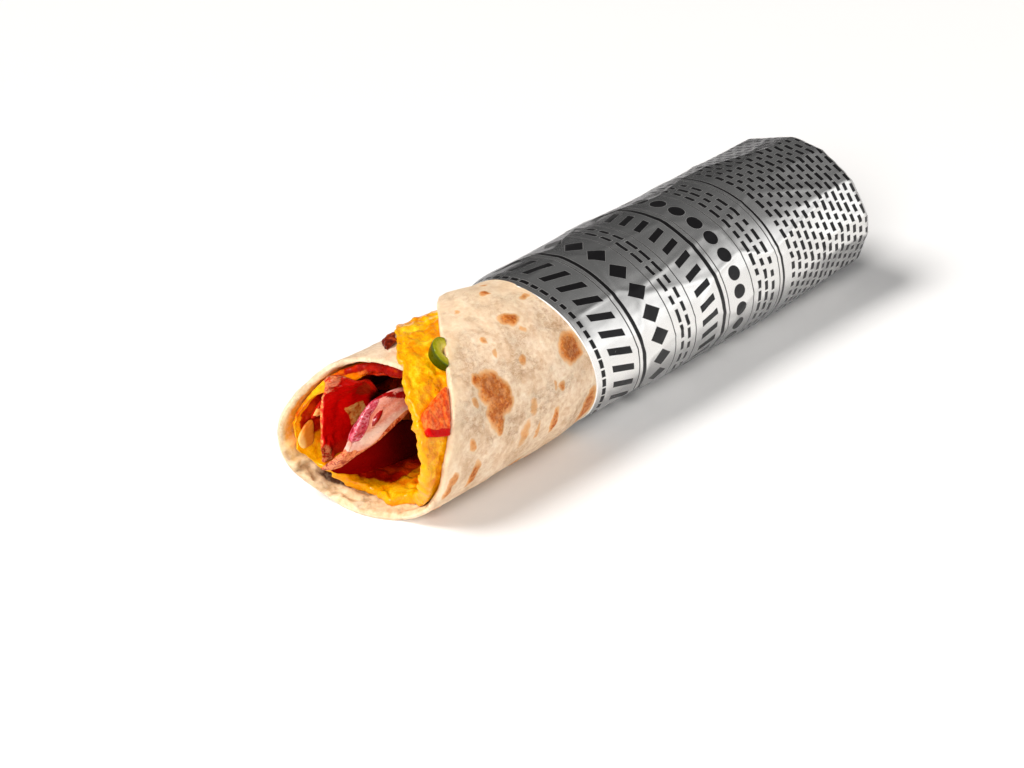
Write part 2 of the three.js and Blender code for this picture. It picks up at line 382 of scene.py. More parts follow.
def slab(outline, low, high, soft):
    """Points and faces of a slice with a soft outline, in rings from under its middle to its top's middle."""
    corners = np.array(outline, float)
    loop = np.concatenate([corners[-1:], corners, corners[:2]])
    around = 120
    share = np.linspace(1, len(corners) + 1, around, endpoint=False) / (len(loop) - 1)
    line, _ = spline(np.broadcast_to(loop, (len(share), *loop.shape)), share)
    middle = line.mean(0)
    # Each ring's share of the outline, and its height
    rings = [(0.5, low), (0.93, low), (0.98, low + 0.3 * soft), (1.0, low + soft)]
    rings += [(1.0, z) for z in np.linspace(low + soft, high - soft, 5)[1:]]
    rings += [(0.985, high - 0.3 * soft)] + [(s, high) for s in np.linspace(0.94, 0.06, 18)]
    points = [np.column_stack([middle + s * (line - middle), np.full(len(line), z)]) for s, z in rings]
    ends = np.array([(*middle, low), (*middle, high)])
    return np.concatenate([*points, ends]), capped(len(rings), around)


def spline(points, share):
    """A smooth line through a row of points for each place, and its direction. points: place, row, 2."""
    last = points.shape[-2] - 1

    def at(t):
        place = np.clip(t, 0, 1) * last
        i = np.minimum(np.floor(place).astype(int), last)
        w = (place - i)[..., None]

        def pick(k):
            k = np.broadcast_to(np.clip(k, 0, last)[..., None, None], (*k.shape, 1, 2))
            return np.take_along_axis(points, k, -2)[..., 0, :]

        p0, p1, p2, p3 = pick(i - 1), pick(i), pick(i + 1), pick(i + 2)
        v0, v1 = (p2 - p0) / 2, (p3 - p1) / 2
        return (2 * p1 - 2 * p2 + v0 + v1) * w**3 + (-3 * p1 + 3 * p2 - 2 * v0 - v1) * w**2 + v0 * w + p1

    small = 1e-4
    ahead = at(share + small) - at(share - small)
    return at(share), ahead / np.linalg.norm(ahead, axis=-1, keepdims=True)


def set_on_roll(points, angle, y, radius, turn_by):
    """Local X goes round the roll, Y towards the mouth and Z outward."""
    turn, spin = math.radians(angle), math.radians(turn_by)
    round_roll = np.array([-math.sin(turn), 0, math.cos(turn)])
    out = np.array([math.cos(turn), 0, math.sin(turn)])
    x = points[:, 0] * math.cos(spin) - points[:, 1] * math.sin(spin)
    z = points[:, 0] * math.sin(spin) + points[:, 1] * math.cos(spin)
    placed = np.outer(x, round_roll) + np.outer(z, (0, -1, 0)) + np.outer(points[:, 2], out)
    return placed + radius * out + (0, y, AXIS_HEIGHT)


def wrapped(points, angle, y, radius):
    """Like set_on_roll, but bent round the roll."""
    turn = np.radians(angle) + points[:, 0] / ROLL_RADIUS
    out = radius + points[:, 2]
    return np.stack([out * np.cos(turn), y - points[:, 1], AXIS_HEIGHT + out * np.sin(turn)], -1)


# Finishes


class Value:
    """A number that changes over a surface. Sums and products of values add Math nodes."""

    def __init__(self, finish, socket):
        self.finish = finish
        self.socket = socket

    def math(self, operation, *others):
        return self.finish.node("Math", {"operation": operation}, [self, *others])

    def __add__(self, other):
        return self.math("ADD", other)

    def __sub__(self, other):
        return self.math("SUBTRACT", other)

    def __rsub__(self, other):
        return self.finish.node("Math", {"operation": "SUBTRACT"}, [other, self])

    def __mul__(self, other):
        return self.math("MULTIPLY", other)

    def __truediv__(self, other):
        return self.math("DIVIDE", other)

    __radd__ = __add__
    __rmul__ = __mul__


class Finish:
    """A material, or the light all round, that is being made."""

    def __init__(self, owner):
        self.material = owner
        owner.use_nodes = True
        self.tree = owner.node_tree
        self.tree.nodes.clear()

    def node(self, kind, settings=None, sockets=None, out=0):
        """Adds a node, with its settings first, and gives back one of its outputs."""
        made = self.tree.nodes.new("ShaderNode" + kind)
        for name, setting in (settings or {}).items():
            if name == "stops":
                while len(made.color_ramp.elements) < len(setting):
                    made.color_ramp.elements.new(0.5)
                for stop, (place, colour) in zip(made.color_ramp.elements, setting):
                    stop.position = place
                    stop.color = (*colour, 1)
            else:
                setattr(made, name, setting)
        given = dict(enumerate(sockets)) if isinstance(sockets, list) else sockets or {}
        for name, value in given.items():
            socket = made.inputs[name]
            if isinstance(value, Value):
                self.tree.links.new(value.socket, socket)
            elif isinstance(value, tuple) and socket.type == "RGBA":
                socket.default_value = (*value, 1)
            else:
                socket.default_value = value
        return Value(self, made.outputs[out]) if made.outputs else None

    def place(self, stretch=(1, 1, 1)):
        """Place on the piece in millimetres."""
        metres = self.node("TexCoord", out="Object")
        scale = tuple(1000 * s for s in stretch)
        return self.node("VectorMath", {"operation": "MULTIPLY"}, [metres, scale])

    def mark(self, name):
        """A mark that the mesh carries."""
        return self.node("Attribute", {"attribute_name": name}, out="Fac")

    def patchy(self, name, noise, stray, low, high):
        """A mark that the mesh carries, with a ragged edge."""
        return self.step(self.mark(name) + (noise - 0.5) * stray, low, high)

    def noise(self, at, size, detail=2.0, rough=0.5, distortion=0.0):
        shape = {"Scale": 1 / size, "Detail": detail, "Roughness": rough, "Distortion": distortion}
        return self.node("TexNoise", None, {"Vector": at, **shape})

    def lines(self, noise, width):
        """Thin lines where a noise crosses its middle."""
        return 1 - self.step((noise - 0.5).math("ABSOLUTE"), 0.0, width)

    def cells(self, at, size, feature="F1"):
        return self.node("TexVoronoi", {"feature": feature}, {"Vector": at, "Scale": 1 / size})

    def step(self, value, low, high):
        """Rises smoothly from 0 to 1 as the value goes from low to high."""
        sockets = {"Value": value, "From Min": low, "From Max": high}
        return self.node("MapRange", {"interpolation_type": "SMOOTHSTEP"}, sockets)

    def mix(self, share, first, second, blend="MIX"):
        settings = {"data_type": "RGBA", "blend_type": blend}
        return self.node("Mix", settings, {0: share, 6: first, 7: second}, out=2)

    def ramp(self, value, stops):
        """Colours along a value, as place, red, green and blue."""
        stops = [(place, srgb(*colour)) for place, *colour in stops]
        return self.node("ValToRGB", {"stops": stops}, {"Fac": value})

    def layers(self, colour, coats):
        """Colours laid over one another, each as its share, red, green and blue."""
        for share, *coat in coats:
            colour = self.mix(share, colour, srgb(*coat))
        return colour

    def bump(self, height, depth):
        """Relief of a height that goes from 0 to 1, depth in millimetres."""
        return self.node("Bump", None, {"Height": height, "Distance": depth / 1000, "Strength": 1.0})

    def surface(self, **sockets):
        named = {name.replace("_", " "): value for name, value in sockets.items()}
        shader = self.node("BsdfPrincipled", None, named)
        self.node("OutputMaterial", None, {"Surface": shader})
        return self


def new_finish(name):
    return Finish(bpy.data.materials.new(name))


def tortilla_finish():
    f = new_finish("tortilla_bread")
    at = f.place()
    face = f.mark("outside")
    stain = f.mark("stain")
    crevice = f.mark("crevice")
    broad = f.noise(at, 10, 3, 0.55)
    patch = f.noise(at, 4.2, 3, 0.6, 0.6)
    fine = f.noise(at, 1.5, 4, 0.62)
    grain = f.noise(at, 0.5, 3, 0.6)
    # Long creases and short wrinkles in the skin, and pits, in patches; their colour is also painted darker,
    # as painted shade in them
    wrinkled_patches = f.step(f.noise(at, 8, 2), 0.44, 0.60)
    creases = f.lines(f.noise(f.place((1, 0.5, 1)), 4.2, 4, 0.62, 1.2), 0.014)
    short_ones = f.lines(f.noise(f.place((1, 0.6, 1)), 1.1, 3, 0.6, 1.4), 0.024)
    wrinkle = (creases * (0.25 + wrinkled_patches * 0.75)).math("MAXIMUM", short_ones * wrinkled_patches * 0.8)
    pits = f.step(f.noise(at, 0.55, 2, 0.5), 0.64, 0.72) * (0.3 + wrinkled_patches * 0.7)
    bread = f.ramp(broad * 0.35 + patch * 0.25 + fine * 0.4, [
        (0.36, 211, 174, 138), (0.46, 226, 193, 159), (0.54, 236, 208, 177), (0.64, 246, 224, 198),
    ])
    inner = f.ramp(patch * 0.5 + fine * 0.5, [
        (0.32, 206, 168, 122), (0.50, 224, 194, 152), (0.68, 238, 215, 180),
    ])
    # Painted shade: the crumb is darker in its creases, and near black in the painted shadow under the egg's
    # edge
    inner = f.layers(inner, [(crevice, 140, 84, 38), (f.step(crevice, 0.5, 0.95), 70, 32, 10)])
    bread = f.layers(f.mix(face, inner, bread), [
        # Painted shade: the creases and pits painted darker brown
        (wrinkle * 0.5 * face, 178, 116, 60), (pits * 0.45, 172, 110, 58),
        # Painted light: a highlight along the front edge, and the top of the roll painted lighter
        (f.mark("edge") * 0.5, 250, 221, 182),
    ])
    grease = f.ramp(stain + (fine - 0.5) * 0.5, [(0.4, 240, 186, 78), (1.0, 228, 144, 30)])
    bread = f.mix(stain, bread, grease)
    # Toasted spots have a pale ring, a tan border and a brown middle, scorched in places
    ragged = f.mark("toast") + (fine - 0.5) * 0.5 + (patch - 0.5) * 0.3
    halo = f.step(ragged, -0.05, 0.15) * (1 - f.step(ragged, 0.15, 0.4))
    border = f.step(ragged, 0.2, 0.5)
    bread = f.layers(bread, [(halo * 0.25, 250, 230, 198), (border * 0.7, 228, 160, 82)])
    mottle = f.step(f.noise(at, 2.0, 3, 0.6, 0.4), 0.40, 0.56)
    speckle = f.noise(at, 0.8, 4, 0.7)
    brown = f.ramp(speckle * 0.5 + fine * 0.25 + patch * 0.25, [
        (0.36, 138, 54, 6), (0.46, 184, 90, 24), (0.54, 212, 124, 46), (0.66, 234, 166, 88),
    ])
    bread = f.mix(f.step(ragged, 0.4, 0.8) * (0.62 + mottle * 0.38), bread, brown)
    scorched = f.step(ragged + (fine - 0.5) * 1.2, 0.8, 1.25)
    bread = f.layers(bread, [(scorched * 0.6, 146, 62, 12)])
    height = patch * 0.25 + fine * 0.4 + grain * 0.25 - wrinkle * 0.35 - pits * 0.15
    return f.surface(
        Base_Color=bread, Roughness=0.62 + (fine - 0.5) * 0.25, Normal=f.bump(height, 0.24),
        Subsurface_Weight=0.12, Subsurface_Radius=(1.0, 0.6, 0.35), Subsurface_Scale=0.0012,
        Specular_IOR_Level=0.3,
    )


def egg_finish():
    f = new_finish("omelette")
    at = f.place()
    broad = f.noise(at, 5.5, 3, 0.55)
    curd = f.noise(at, 1.9, 3, 0.55)
    grain = f.noise(at, 0.55, 2, 0.5)
    egg = f.ramp(broad * 0.5 + curd * 0.5, [
        (0.32, 218, 112, 0), (0.44, 238, 148, 0), (0.54, 248, 176, 2), (0.66, 255, 212, 44),
    ])
    browned = f.step(f.noise(at, 2.6, 3, 0.6, 0.5), 0.60, 0.74)
    specks = f.step(f.noise(at, 0.9, 2, 0.5), 0.68, 0.75)
    egg = f.layers(egg, [
        (f.mark("rim") * 0.6, 246, 160, 0), (browned * 0.45, 196, 96, 6), (specks * 0.5, 146, 62, 4),
    ])
    stained = f.ramp(broad, [(0.38, 214, 76, 2), (0.50, 244, 134, 5), (0.62, 254, 182, 20)])
    egg = f.mix(f.patchy("stain", curd, 0.7, 0.3, 0.8) * 0.9, egg, stained)
    soaked = f.patchy("wall", curd, 0.6, 0.3, 0.7)
    greasy = f.ramp(broad, [(0.36, 130, 5, 1), (0.52, 164, 18, 2), (0.66, 198, 54, 4)])
    egg = f.mix(soaked, egg, greasy)
    height = curd * 0.55 + grain * 0.45
    return f.surface(
        Base_Color=egg, Roughness=0.34 + (curd - 0.5) * 0.3, Normal=f.bump(height, 0.42),
        Subsurface_Weight=0.25, Subsurface_Radius=(1.0, 0.5, 0.05), Subsurface_Scale=0.002,
        Coat_Weight=0.5 - soaked * 0.46, Coat_Roughness=0.1, Specular_IOR_Level=0.05,
    )


def bacon_finish(name, stripes, marbling=0.0, gloss=0.5, shine=0.1):
    """Stripes are colours by the share across the rasher. Marbling lets fine fat into the lean."""
    f = new_finish(name)
    at = f.place()
    stretched = f.place((1, 0.5, 1))
    wander = f.noise(at, 6, 3, 0.55)
    ragged = f.noise(at, 1.8, 4, 0.6, 0.8)
    fibre = f.noise(f.place((1.0, 0.35, 1.0)), 0.9, 3, 0.6)
    grain = f.noise(at, 0.6, 2, 0.5)
    meat = f.ramp(f.mark("across") + (wander - 0.5) * 0.16 + (fibre - 0.5) * 0.06, stripes)
    veins = f.lines(f.noise(stretched, 1.5, 3, 0.6, 1.2), 0.045)
    redder = f.step(wander, 0.46, 0.64)
    meat = f.layers(meat, [(veins * marbling, 244, 200, 188), (redder * marbling, 210, 100, 82)])
    # The round muscle, with a dark outline
    muscle = f.ramp(fibre, [(0.36, 146, 12, 32), (0.52, 194, 54, 76), (0.68, 224, 112, 126)])
    threads = 1 - f.step(f.cells(stretched, 1.2, "DISTANCE_TO_EDGE"), 0.02, 0.15)
    muscle = f.layers(muscle, [(threads * f.step(ragged, 0.4, 0.62) * 0.6, 234, 172, 184)])
    eye = f.mark("lean") + (ragged - 0.5) * 0.6
    outline = 1 - f.step((eye - 0.45).math("ABSOLUTE"), 0.05, 0.2)
    meat = f.layers(f.mix(f.step(eye, 0.4, 0.6), meat, muscle), [
        (outline * 0.6, 140, 10, 24), (f.patchy("blood", ragged, 0.7, 0.4, 0.6), 150, 4, 8),
    ])
    meat = f.mix(f.step(fibre, 0.54, 0.74) * 0.25, meat, srgb(120, 6, 8), "MULTIPLY")
    fat = f.ramp(fibre * 0.4 + ragged * 0.6, [
        (0.34, 198, 68, 18), (0.46, 240, 132, 52), (0.58, 254, 190, 108),
    ])
    meat = f.mix(f.patchy("pale", ragged, 0.7, 0.4, 0.6), meat, fat)
    crust = f.ramp(grain * 0.3 + ragged * 0.7, [
        (0.36, 112, 8, 6), (0.46, 180, 58, 30), (0.55, 232, 146, 92), (0.64, 206, 88, 66),
    ])
    # The last coat is painted shade: near black where the mark says a rasher lies deep inside the roll
    meat = f.layers(f.mix(f.patchy("crisp", ragged, 0.8, 0.4, 0.62), meat, crust), [
        (f.patchy("browned", ragged, 0.9, 0.3, 0.9) * 0.6, 140, 46, 16), (f.mark("dark"), 26, 2, 2),
    ])
    height = fibre * 0.5 + grain * 0.25 + ragged * 0.25
    return f.surface(
        Base_Color=meat, Roughness=0.26 + fibre * 0.16, Normal=f.bump(height, 0.34),
        Subsurface_Weight=0.08, Subsurface_Radius=(1.0, 0.25, 0.2), Subsurface_Scale=0.001,
        Coat_Weight=gloss, Coat_Roughness=0.06, Specular_IOR_Level=shine,
    )


def foil_finish():
    f = new_finish("printed_foil")
    at = f.place()
    x, z = (f.node("SeparateXYZ", None, [at], out=k) for k in (0, 2))
    along = f.mark("along")
    turn = (z - AXIS_HEIGHT).math("ARCTAN2", x) / (2 * math.pi)

    def middle(value):
        return (value - 0.5).math("ABSOLUTE")

    def repeat(count, slant=0.0):
        """Place within a repeat round the sleeve, from the middle of it."""
        return middle((turn * count + along * slant).math("FRACT"))

    def band(low, high):
        return f.step(along, low - 0.12, low + 0.12) * (1 - f.step(along, high - 0.12, high + 0.12))

    def lozenges(low, high, count, full):
        centre, half = (low + high) / 2, (high - low) / 2
        return 1 - f.step(repeat(count) / full + (along - centre).math("ABSOLUTE") / half, 0.95, 1.03)

    def dots(low, high, count):
        centre, half = (low + high) / 2, (high - low) / 2
        u = repeat(count) * (2 * math.pi * ROLL_RADIUS / count / half)
        v = (along - centre) / half
        return 1 - f.step(u * u + v * v, 0.9, 1.1)

    def bars(low, high, count, slant, full):
        return (1 - f.step(repeat(count, slant), full / 2 - 0.012, full / 2 + 0.012)) * band(low, high)

    def uneven(place, row):
        """A random number for each dash of a row, and the place in the dash."""
        number = place.math("FLOOR") + row
        own = f.node("TexWhiteNoise", {"noise_dimensions": "1D"}, {"W": number})
        return own, middle(place.math("FRACT"))

    def dashes(low, high, count, shift):
        own, place = uneven(turn * count + shift, shift * 13)
        return (1 - f.step(place - (0.25 + own * 0.2), -0.03, 0.03)) * band(low, high)

    rows_of_print = [
        dashes(2.2, 3.6, 46, 0.2),
        bars(6.6, 15.2, 27, 0.05, 0.40),
        lozenges(23.6, 31.6, 21, 0.42),
        dashes(36.6, 38.0, 30, 0.3), dashes(39.8, 41.2, 34, 0.7),
        bars(47.0, 54.2, 31, -0.05, 0.44),
        dots(63.0, 68.0, 25),
        dashes(74.0, 75.5, 36, 0.1), dashes(77.3, 78.8, 38, 0.5), dashes(80.6, 82.1, 35, 0.8),
    ]
    thin_lines = (17.4, 33.8, 43.6, 59.6, 71.4, 84.6)
    rows_of_print += [band(low, low + 0.4) for low in thin_lines]
    rows_of_print += [band(19.0, 20.4), band(56.6, 58.2), band(86.2, 87.2)]
    # Rows of dashes, close together, from there to the far end and over it
    line = (along - 90) / 3.1
    row = line.math("FLOOR")
    own, place = uneven(turn * 43 + row * 0.37, row * 57)
    dash = 1 - f.step(place - own * 0.2, 0.22, 0.28)
    rows_of_print.append(dash * (1 - f.step(middle(line.math("FRACT")), 0.22, 0.27)) * band(90, 146))
    ink = rows_of_print[0]
    for row in rows_of_print[1:]:
        ink = ink.math("MAXIMUM", row)
    rubbed = f.step(f.noise(at, 1.3, 4, 0.7), 0.20, 0.30)
    ink = ink * f.mark("outside") * rubbed
    paper = 1 - f.step(along, 0.3, 0.5)
    creases = f.noise(f.place((1, 0.5, 1)), 11, 2, 0.45, 0.4)
    fine = f.noise(at, 1.8, 2, 0.5)
    foil = f.mix(f.step(creases, 0.35, 0.65) * 0.5, srgb(232, 231, 229), srgb(246, 245, 243))
    return f.surface(
        Base_Color=f.mix(paper, f.mix(ink, foil, srgb(20, 19, 20)), srgb(246, 244, 240)),
        Metallic=1 - (ink * 0.9).math("MAXIMUM", paper),
        Roughness=0.25 + ink * 0.1 + (fine - 0.5) * 0.08,
        Normal=f.bump(creases + fine * 0.03, 0.6), Specular_Tint=(0.4, 0.4, 0.42),
    )


def tomato_finish():
    f = new_finish("tomato_flesh")
    at = f.place()
    pulp = f.noise(at, 1.5, 3, 0.6)
    grain = f.cells(at, 0.8)
    streaks = f.noise(f.place((1, 0.5, 0.5)), 1.1, 3, 0.6)
    flesh = f.ramp(pulp * 0.4 + streaks * 0.45 + grain * 0.15, [
        (0.30, 200, 40, 4), (0.44, 220, 72, 15), (0.60, 244, 126, 54),
    ])
    skin = f.patchy("skin", pulp, 0.9, 0.35, 0.65)
    height = grain * 0.3 + streaks * 0.4 + pulp * 0.3
    return f.surface(
        Base_Color=f.mix(skin, flesh, srgb(196, 2, 0)), Roughness=0.28 + (pulp - 0.5) * 0.2,
        Normal=f.bump(height, 0.3),
        Subsurface_Weight=0.2, Subsurface_Radius=(1.0, 0.25, 0.06), Subsurface_Scale=0.0012,
        Coat_Weight=0.4 - skin * 0.3, Coat_Roughness=0.1, Specular_IOR_Level=0.05,
    )


def chilli_finish():
    f = new_finish("chilli_slice")
    mottle = f.noise(f.place(), 1.2, 3, 0.55)
    colour = f.ramp(f.mark("flesh") + (mottle - 0.5) * 0.16, [
        (0.0, 60, 70, 0), (0.16, 98, 106, 0), (0.36, 148, 144, 6), (0.66, 202, 188, 46), (1.0, 230, 210, 90),
    ])
    return f.surface(
        Base_Color=colour, Roughness=0.22 + mottle * 0.12, Normal=f.bump(mottle, 0.12),
        Subsurface_Weight=0.15, Subsurface_Radius=(0.5, 1.0, 0.1), Subsurface_Scale=0.001,
        Coat_Weight=0.25, Coat_Roughness=0.08, Specular_IOR_Level=0.1,
    )


def onion_finish():
    f = new_finish("cooked_onion")
    veins = f.noise(f.place((1, 0.3, 1)), 1.1, 3, 0.55)
    colour = f.ramp(f.mark("pale") * 0.75 + veins * 0.5, [
        (0.2, 208, 118, 28), (0.5, 222, 148, 54), (1.0, 238, 190, 112),
    ])
    return f.surface(
        Base_Color=colour, Roughness=0.25 + veins * 0.1, Normal=f.bump(veins, 0.12),
        Subsurface_Weight=0.35, Subsurface_Radius=(1.0, 0.6, 0.3), Subsurface_Scale=0.0015,
        Coat_Weight=0.15, Coat_Roughness=0.12, Specular_IOR_Level=0.15,
    )


def crisp_finish():
    f = new_finish("crisp_bacon_end")
    char = f.noise(f.place(), 1.7, 3, 0.55)
    colour = f.ramp(char, [(0.32, 60, 9, 3), (0.48, 110, 26, 8), (0.64, 160, 66, 24)])
    return f.surface(
        Base_Color=colour, Roughness=0.4 + (char - 0.5) * 0.3, Normal=f.bump(char, 0.2),
        Coat_Weight=0.15, Coat_Roughness=0.15, Specular_IOR_Level=0.1,
    )


# Rolled sheets


def toast_marks(angle, y):
    """How toasted the tortilla is: 0 where it is pale, above about 0.5 in a spot."""
    chance = np.random.default_rng(7).uniform
    spots = list(TOASTED)
    for _ in range(HIDDEN_SPOTS):
        place = chance(-170, -32), chance(-88, -22)
        sizes = chance(0.8, 3.6), chance(0.7, 2.8)
        spots.append((*place, *sizes, chance(-40, 40), chance(0.5, 1.0)))
    for _ in range(HIDDEN_SPOTS // 3):
        place = chance(-300, -190), chance(-96, -30)
        spots.append((*place, chance(0.8, 2.0), chance(0.7, 1.8), 0, chance(0.5, 0.85)))
    flat = unrolled(angle, y)
    stray_u, stray_v = (
        0.7 * lumps(flat, 2.8, 31 + k, 2) + 0.3 * lumps(flat, 1.2, 33 + k) for k in range(2)
    )
    field = np.zeros(stray_u.shape)
    for at, along, half_round, half_along, turn, strength in spots:
        u = ROLL_RADIUS * np.radians(angle - at) + stray_u
        v = y - along + stray_v
        c, s = math.cos(math.radians(turn)), math.sin(math.radians(turn))
        away = np.hypot((u * c + v * s) / half_round, (v * c - u * s) / half_along)
        field = np.maximum(field, strength * np.clip(1.65 - away, 0, 1))
    return field


def rolled(name, finish, start, end, mouth, tail, outside, inside, shape, marks):
    """A sheet in the roll. shape(angle, y, away) gives its sway and the relief of its two sides."""
    half = TORTILLA_THICK / 2
    half_turn = math.degrees(half / ROLL_RADIUS)
    angle = columns(start, end, SHEET_TURN_STEP, half_turn)
    front, back = mouth(angle), tail(angle)
    y = rows(front, back, half, SHEET_STEP, SHEET_FINE, SHEET_ROWS)
    angle = np.broadcast_to(angle[:, None], y.shape)
    away = y - front[:, None]
    share = edge_share(away, half) * edge_share(abs(start - angle) / half_turn, 1.0)
    share = share * edge_share(abs(angle - end) / half_turn, 1.0)
    share[:, -1] = 0
    high, low = outside(angle, y), inside(angle, y)
    sway, relief_out, relief_in = shape(angle, y, away)
    middle, thick = (high + low) / 2 + sway, (high - low) / 2
    outer = on_roll(angle, y, middle + share * (thick + relief_out))
    inner = on_roll(angle, y, middle - share * (thick + relief_in))
    sheet(name, outer, inner, finish, marks(angle, y, away))


def make_tortilla():
    def pucker(angle, y):
        """The soft crumb of the inner side, pushed into puckers: 0 in a crease, more on a lump."""
        flat = unrolled(angle, y)
        warped = flat + 1.1 * np.stack([lumps(flat, 3.5, 23), lumps(flat, 3.5, 24)], -1)
        return np.abs(lumps(warped * (1, 0.6), 3.2, 21, 2))

    def lower_left(angle):
        return window(-angle, 88, 106, 148, 172)

    def shape(angle, y, away):
        flat = unrolled(angle, y)
        edge = foil_mouth(angle)
        free = fall(y, edge - 9, edge - 3)
        calm_lip = 1 - 0.7 * fall(away, 4, 12) * smooth(-angle, 40, 70)
        sway = free * calm_lip * 0.35 * lumps(flat, 11, 3, 2)
        flare = window(-angle, 130, 165, 215, 250)
        sway = sway + 0.7 * flare * np.exp(-((away / 6.0) ** 2)) - 1.5 * behind_mouth(angle, y)
        # The flap lifts over what lies under its edge
        for at, width, lift in ((122, 9.0, 0.3), (66, 5.5, 0.9), (35, 7.0, 0.7)):
            u = ROLL_RADIUS * np.radians(angle - at)
            sway = sway + lift * np.exp(-((u / width) ** 2) - (away / 8.0) ** 2)
        # It stands a little full at the top, before the sleeve
        sway = sway + 1.0 * np.exp(-(((angle - 108) / 30) ** 2) - ((y + 44) / 12) ** 2)
        puffed = 0.32 * smooth(toast_marks(angle, y), 0.35, 1.0)
        skin = 0.16 * lumps(flat, 3.2, 11, 3) + 0.10 * lumps(flat * (1, 0.5), 1.5, 12, 2)
        deep = 0.6 + 1.9 * lower_left(angle)
        relief_in = free * (deep * (pucker(angle, y) - 0.25) + 0.2 * lumps(flat, 1.6, 22, 2))
        # The edge is thin over the top of the mouth
        relief_in = relief_in - 0.7 * smooth(-angle, 215, 235) * fall(away, 2, 6)
        return sway, free * (puffed + skin), relief_in

    def marks(angle, y, away):
        near_egg = smooth(away, 0.3, 2.2) * smooth(-angle, 140, 166)
        left_rim = np.clip(near_egg * (0.95 + 0.4 * lumps(unrolled(angle, y), 6, 41)), 0, 1)
        by_chilli = np.exp(-((angle - 66) / 9) ** 2 - (away / 5) ** 2)
        # Painted light: a highlight along the front edge, and the top of the roll painted lighter by angle
        edge = fall(away, 0.5, 8) * lerp(0.4, 1.0, smooth(angle, -60, 0))
        top = 0.7 * smooth(angle, 52, 84)
        # Painted shade: darker in the creases of the puckers, and darkest in the shadow under the egg's lip
        crevice = fall(pucker(angle, y), 0.02, 0.18) * (0.12 + 0.32 * lower_left(angle))
        shadow_under_egg = 0.95 * smooth(y - egg_lip(angle), -0.9, 1.0) * window(-angle, 104, 118, 132, 144)
        return {
            "toast": (toast_marks(angle, y), 0.0),
            "outside": (1.0, 0.0),
            "stain": (0.16 * by_chilli, left_rim),
            "edge": (np.maximum(edge, top), 0.3 * edge),
            "crevice": (0.0, np.maximum(crevice, shadow_under_egg)),
        }

    rolled(
        "tortilla", tortilla_finish(), FLAP_END, INNER_END, tortilla_mouth, sheet_tail,
        tortilla_outside, tortilla_inside, shape, marks,
    )


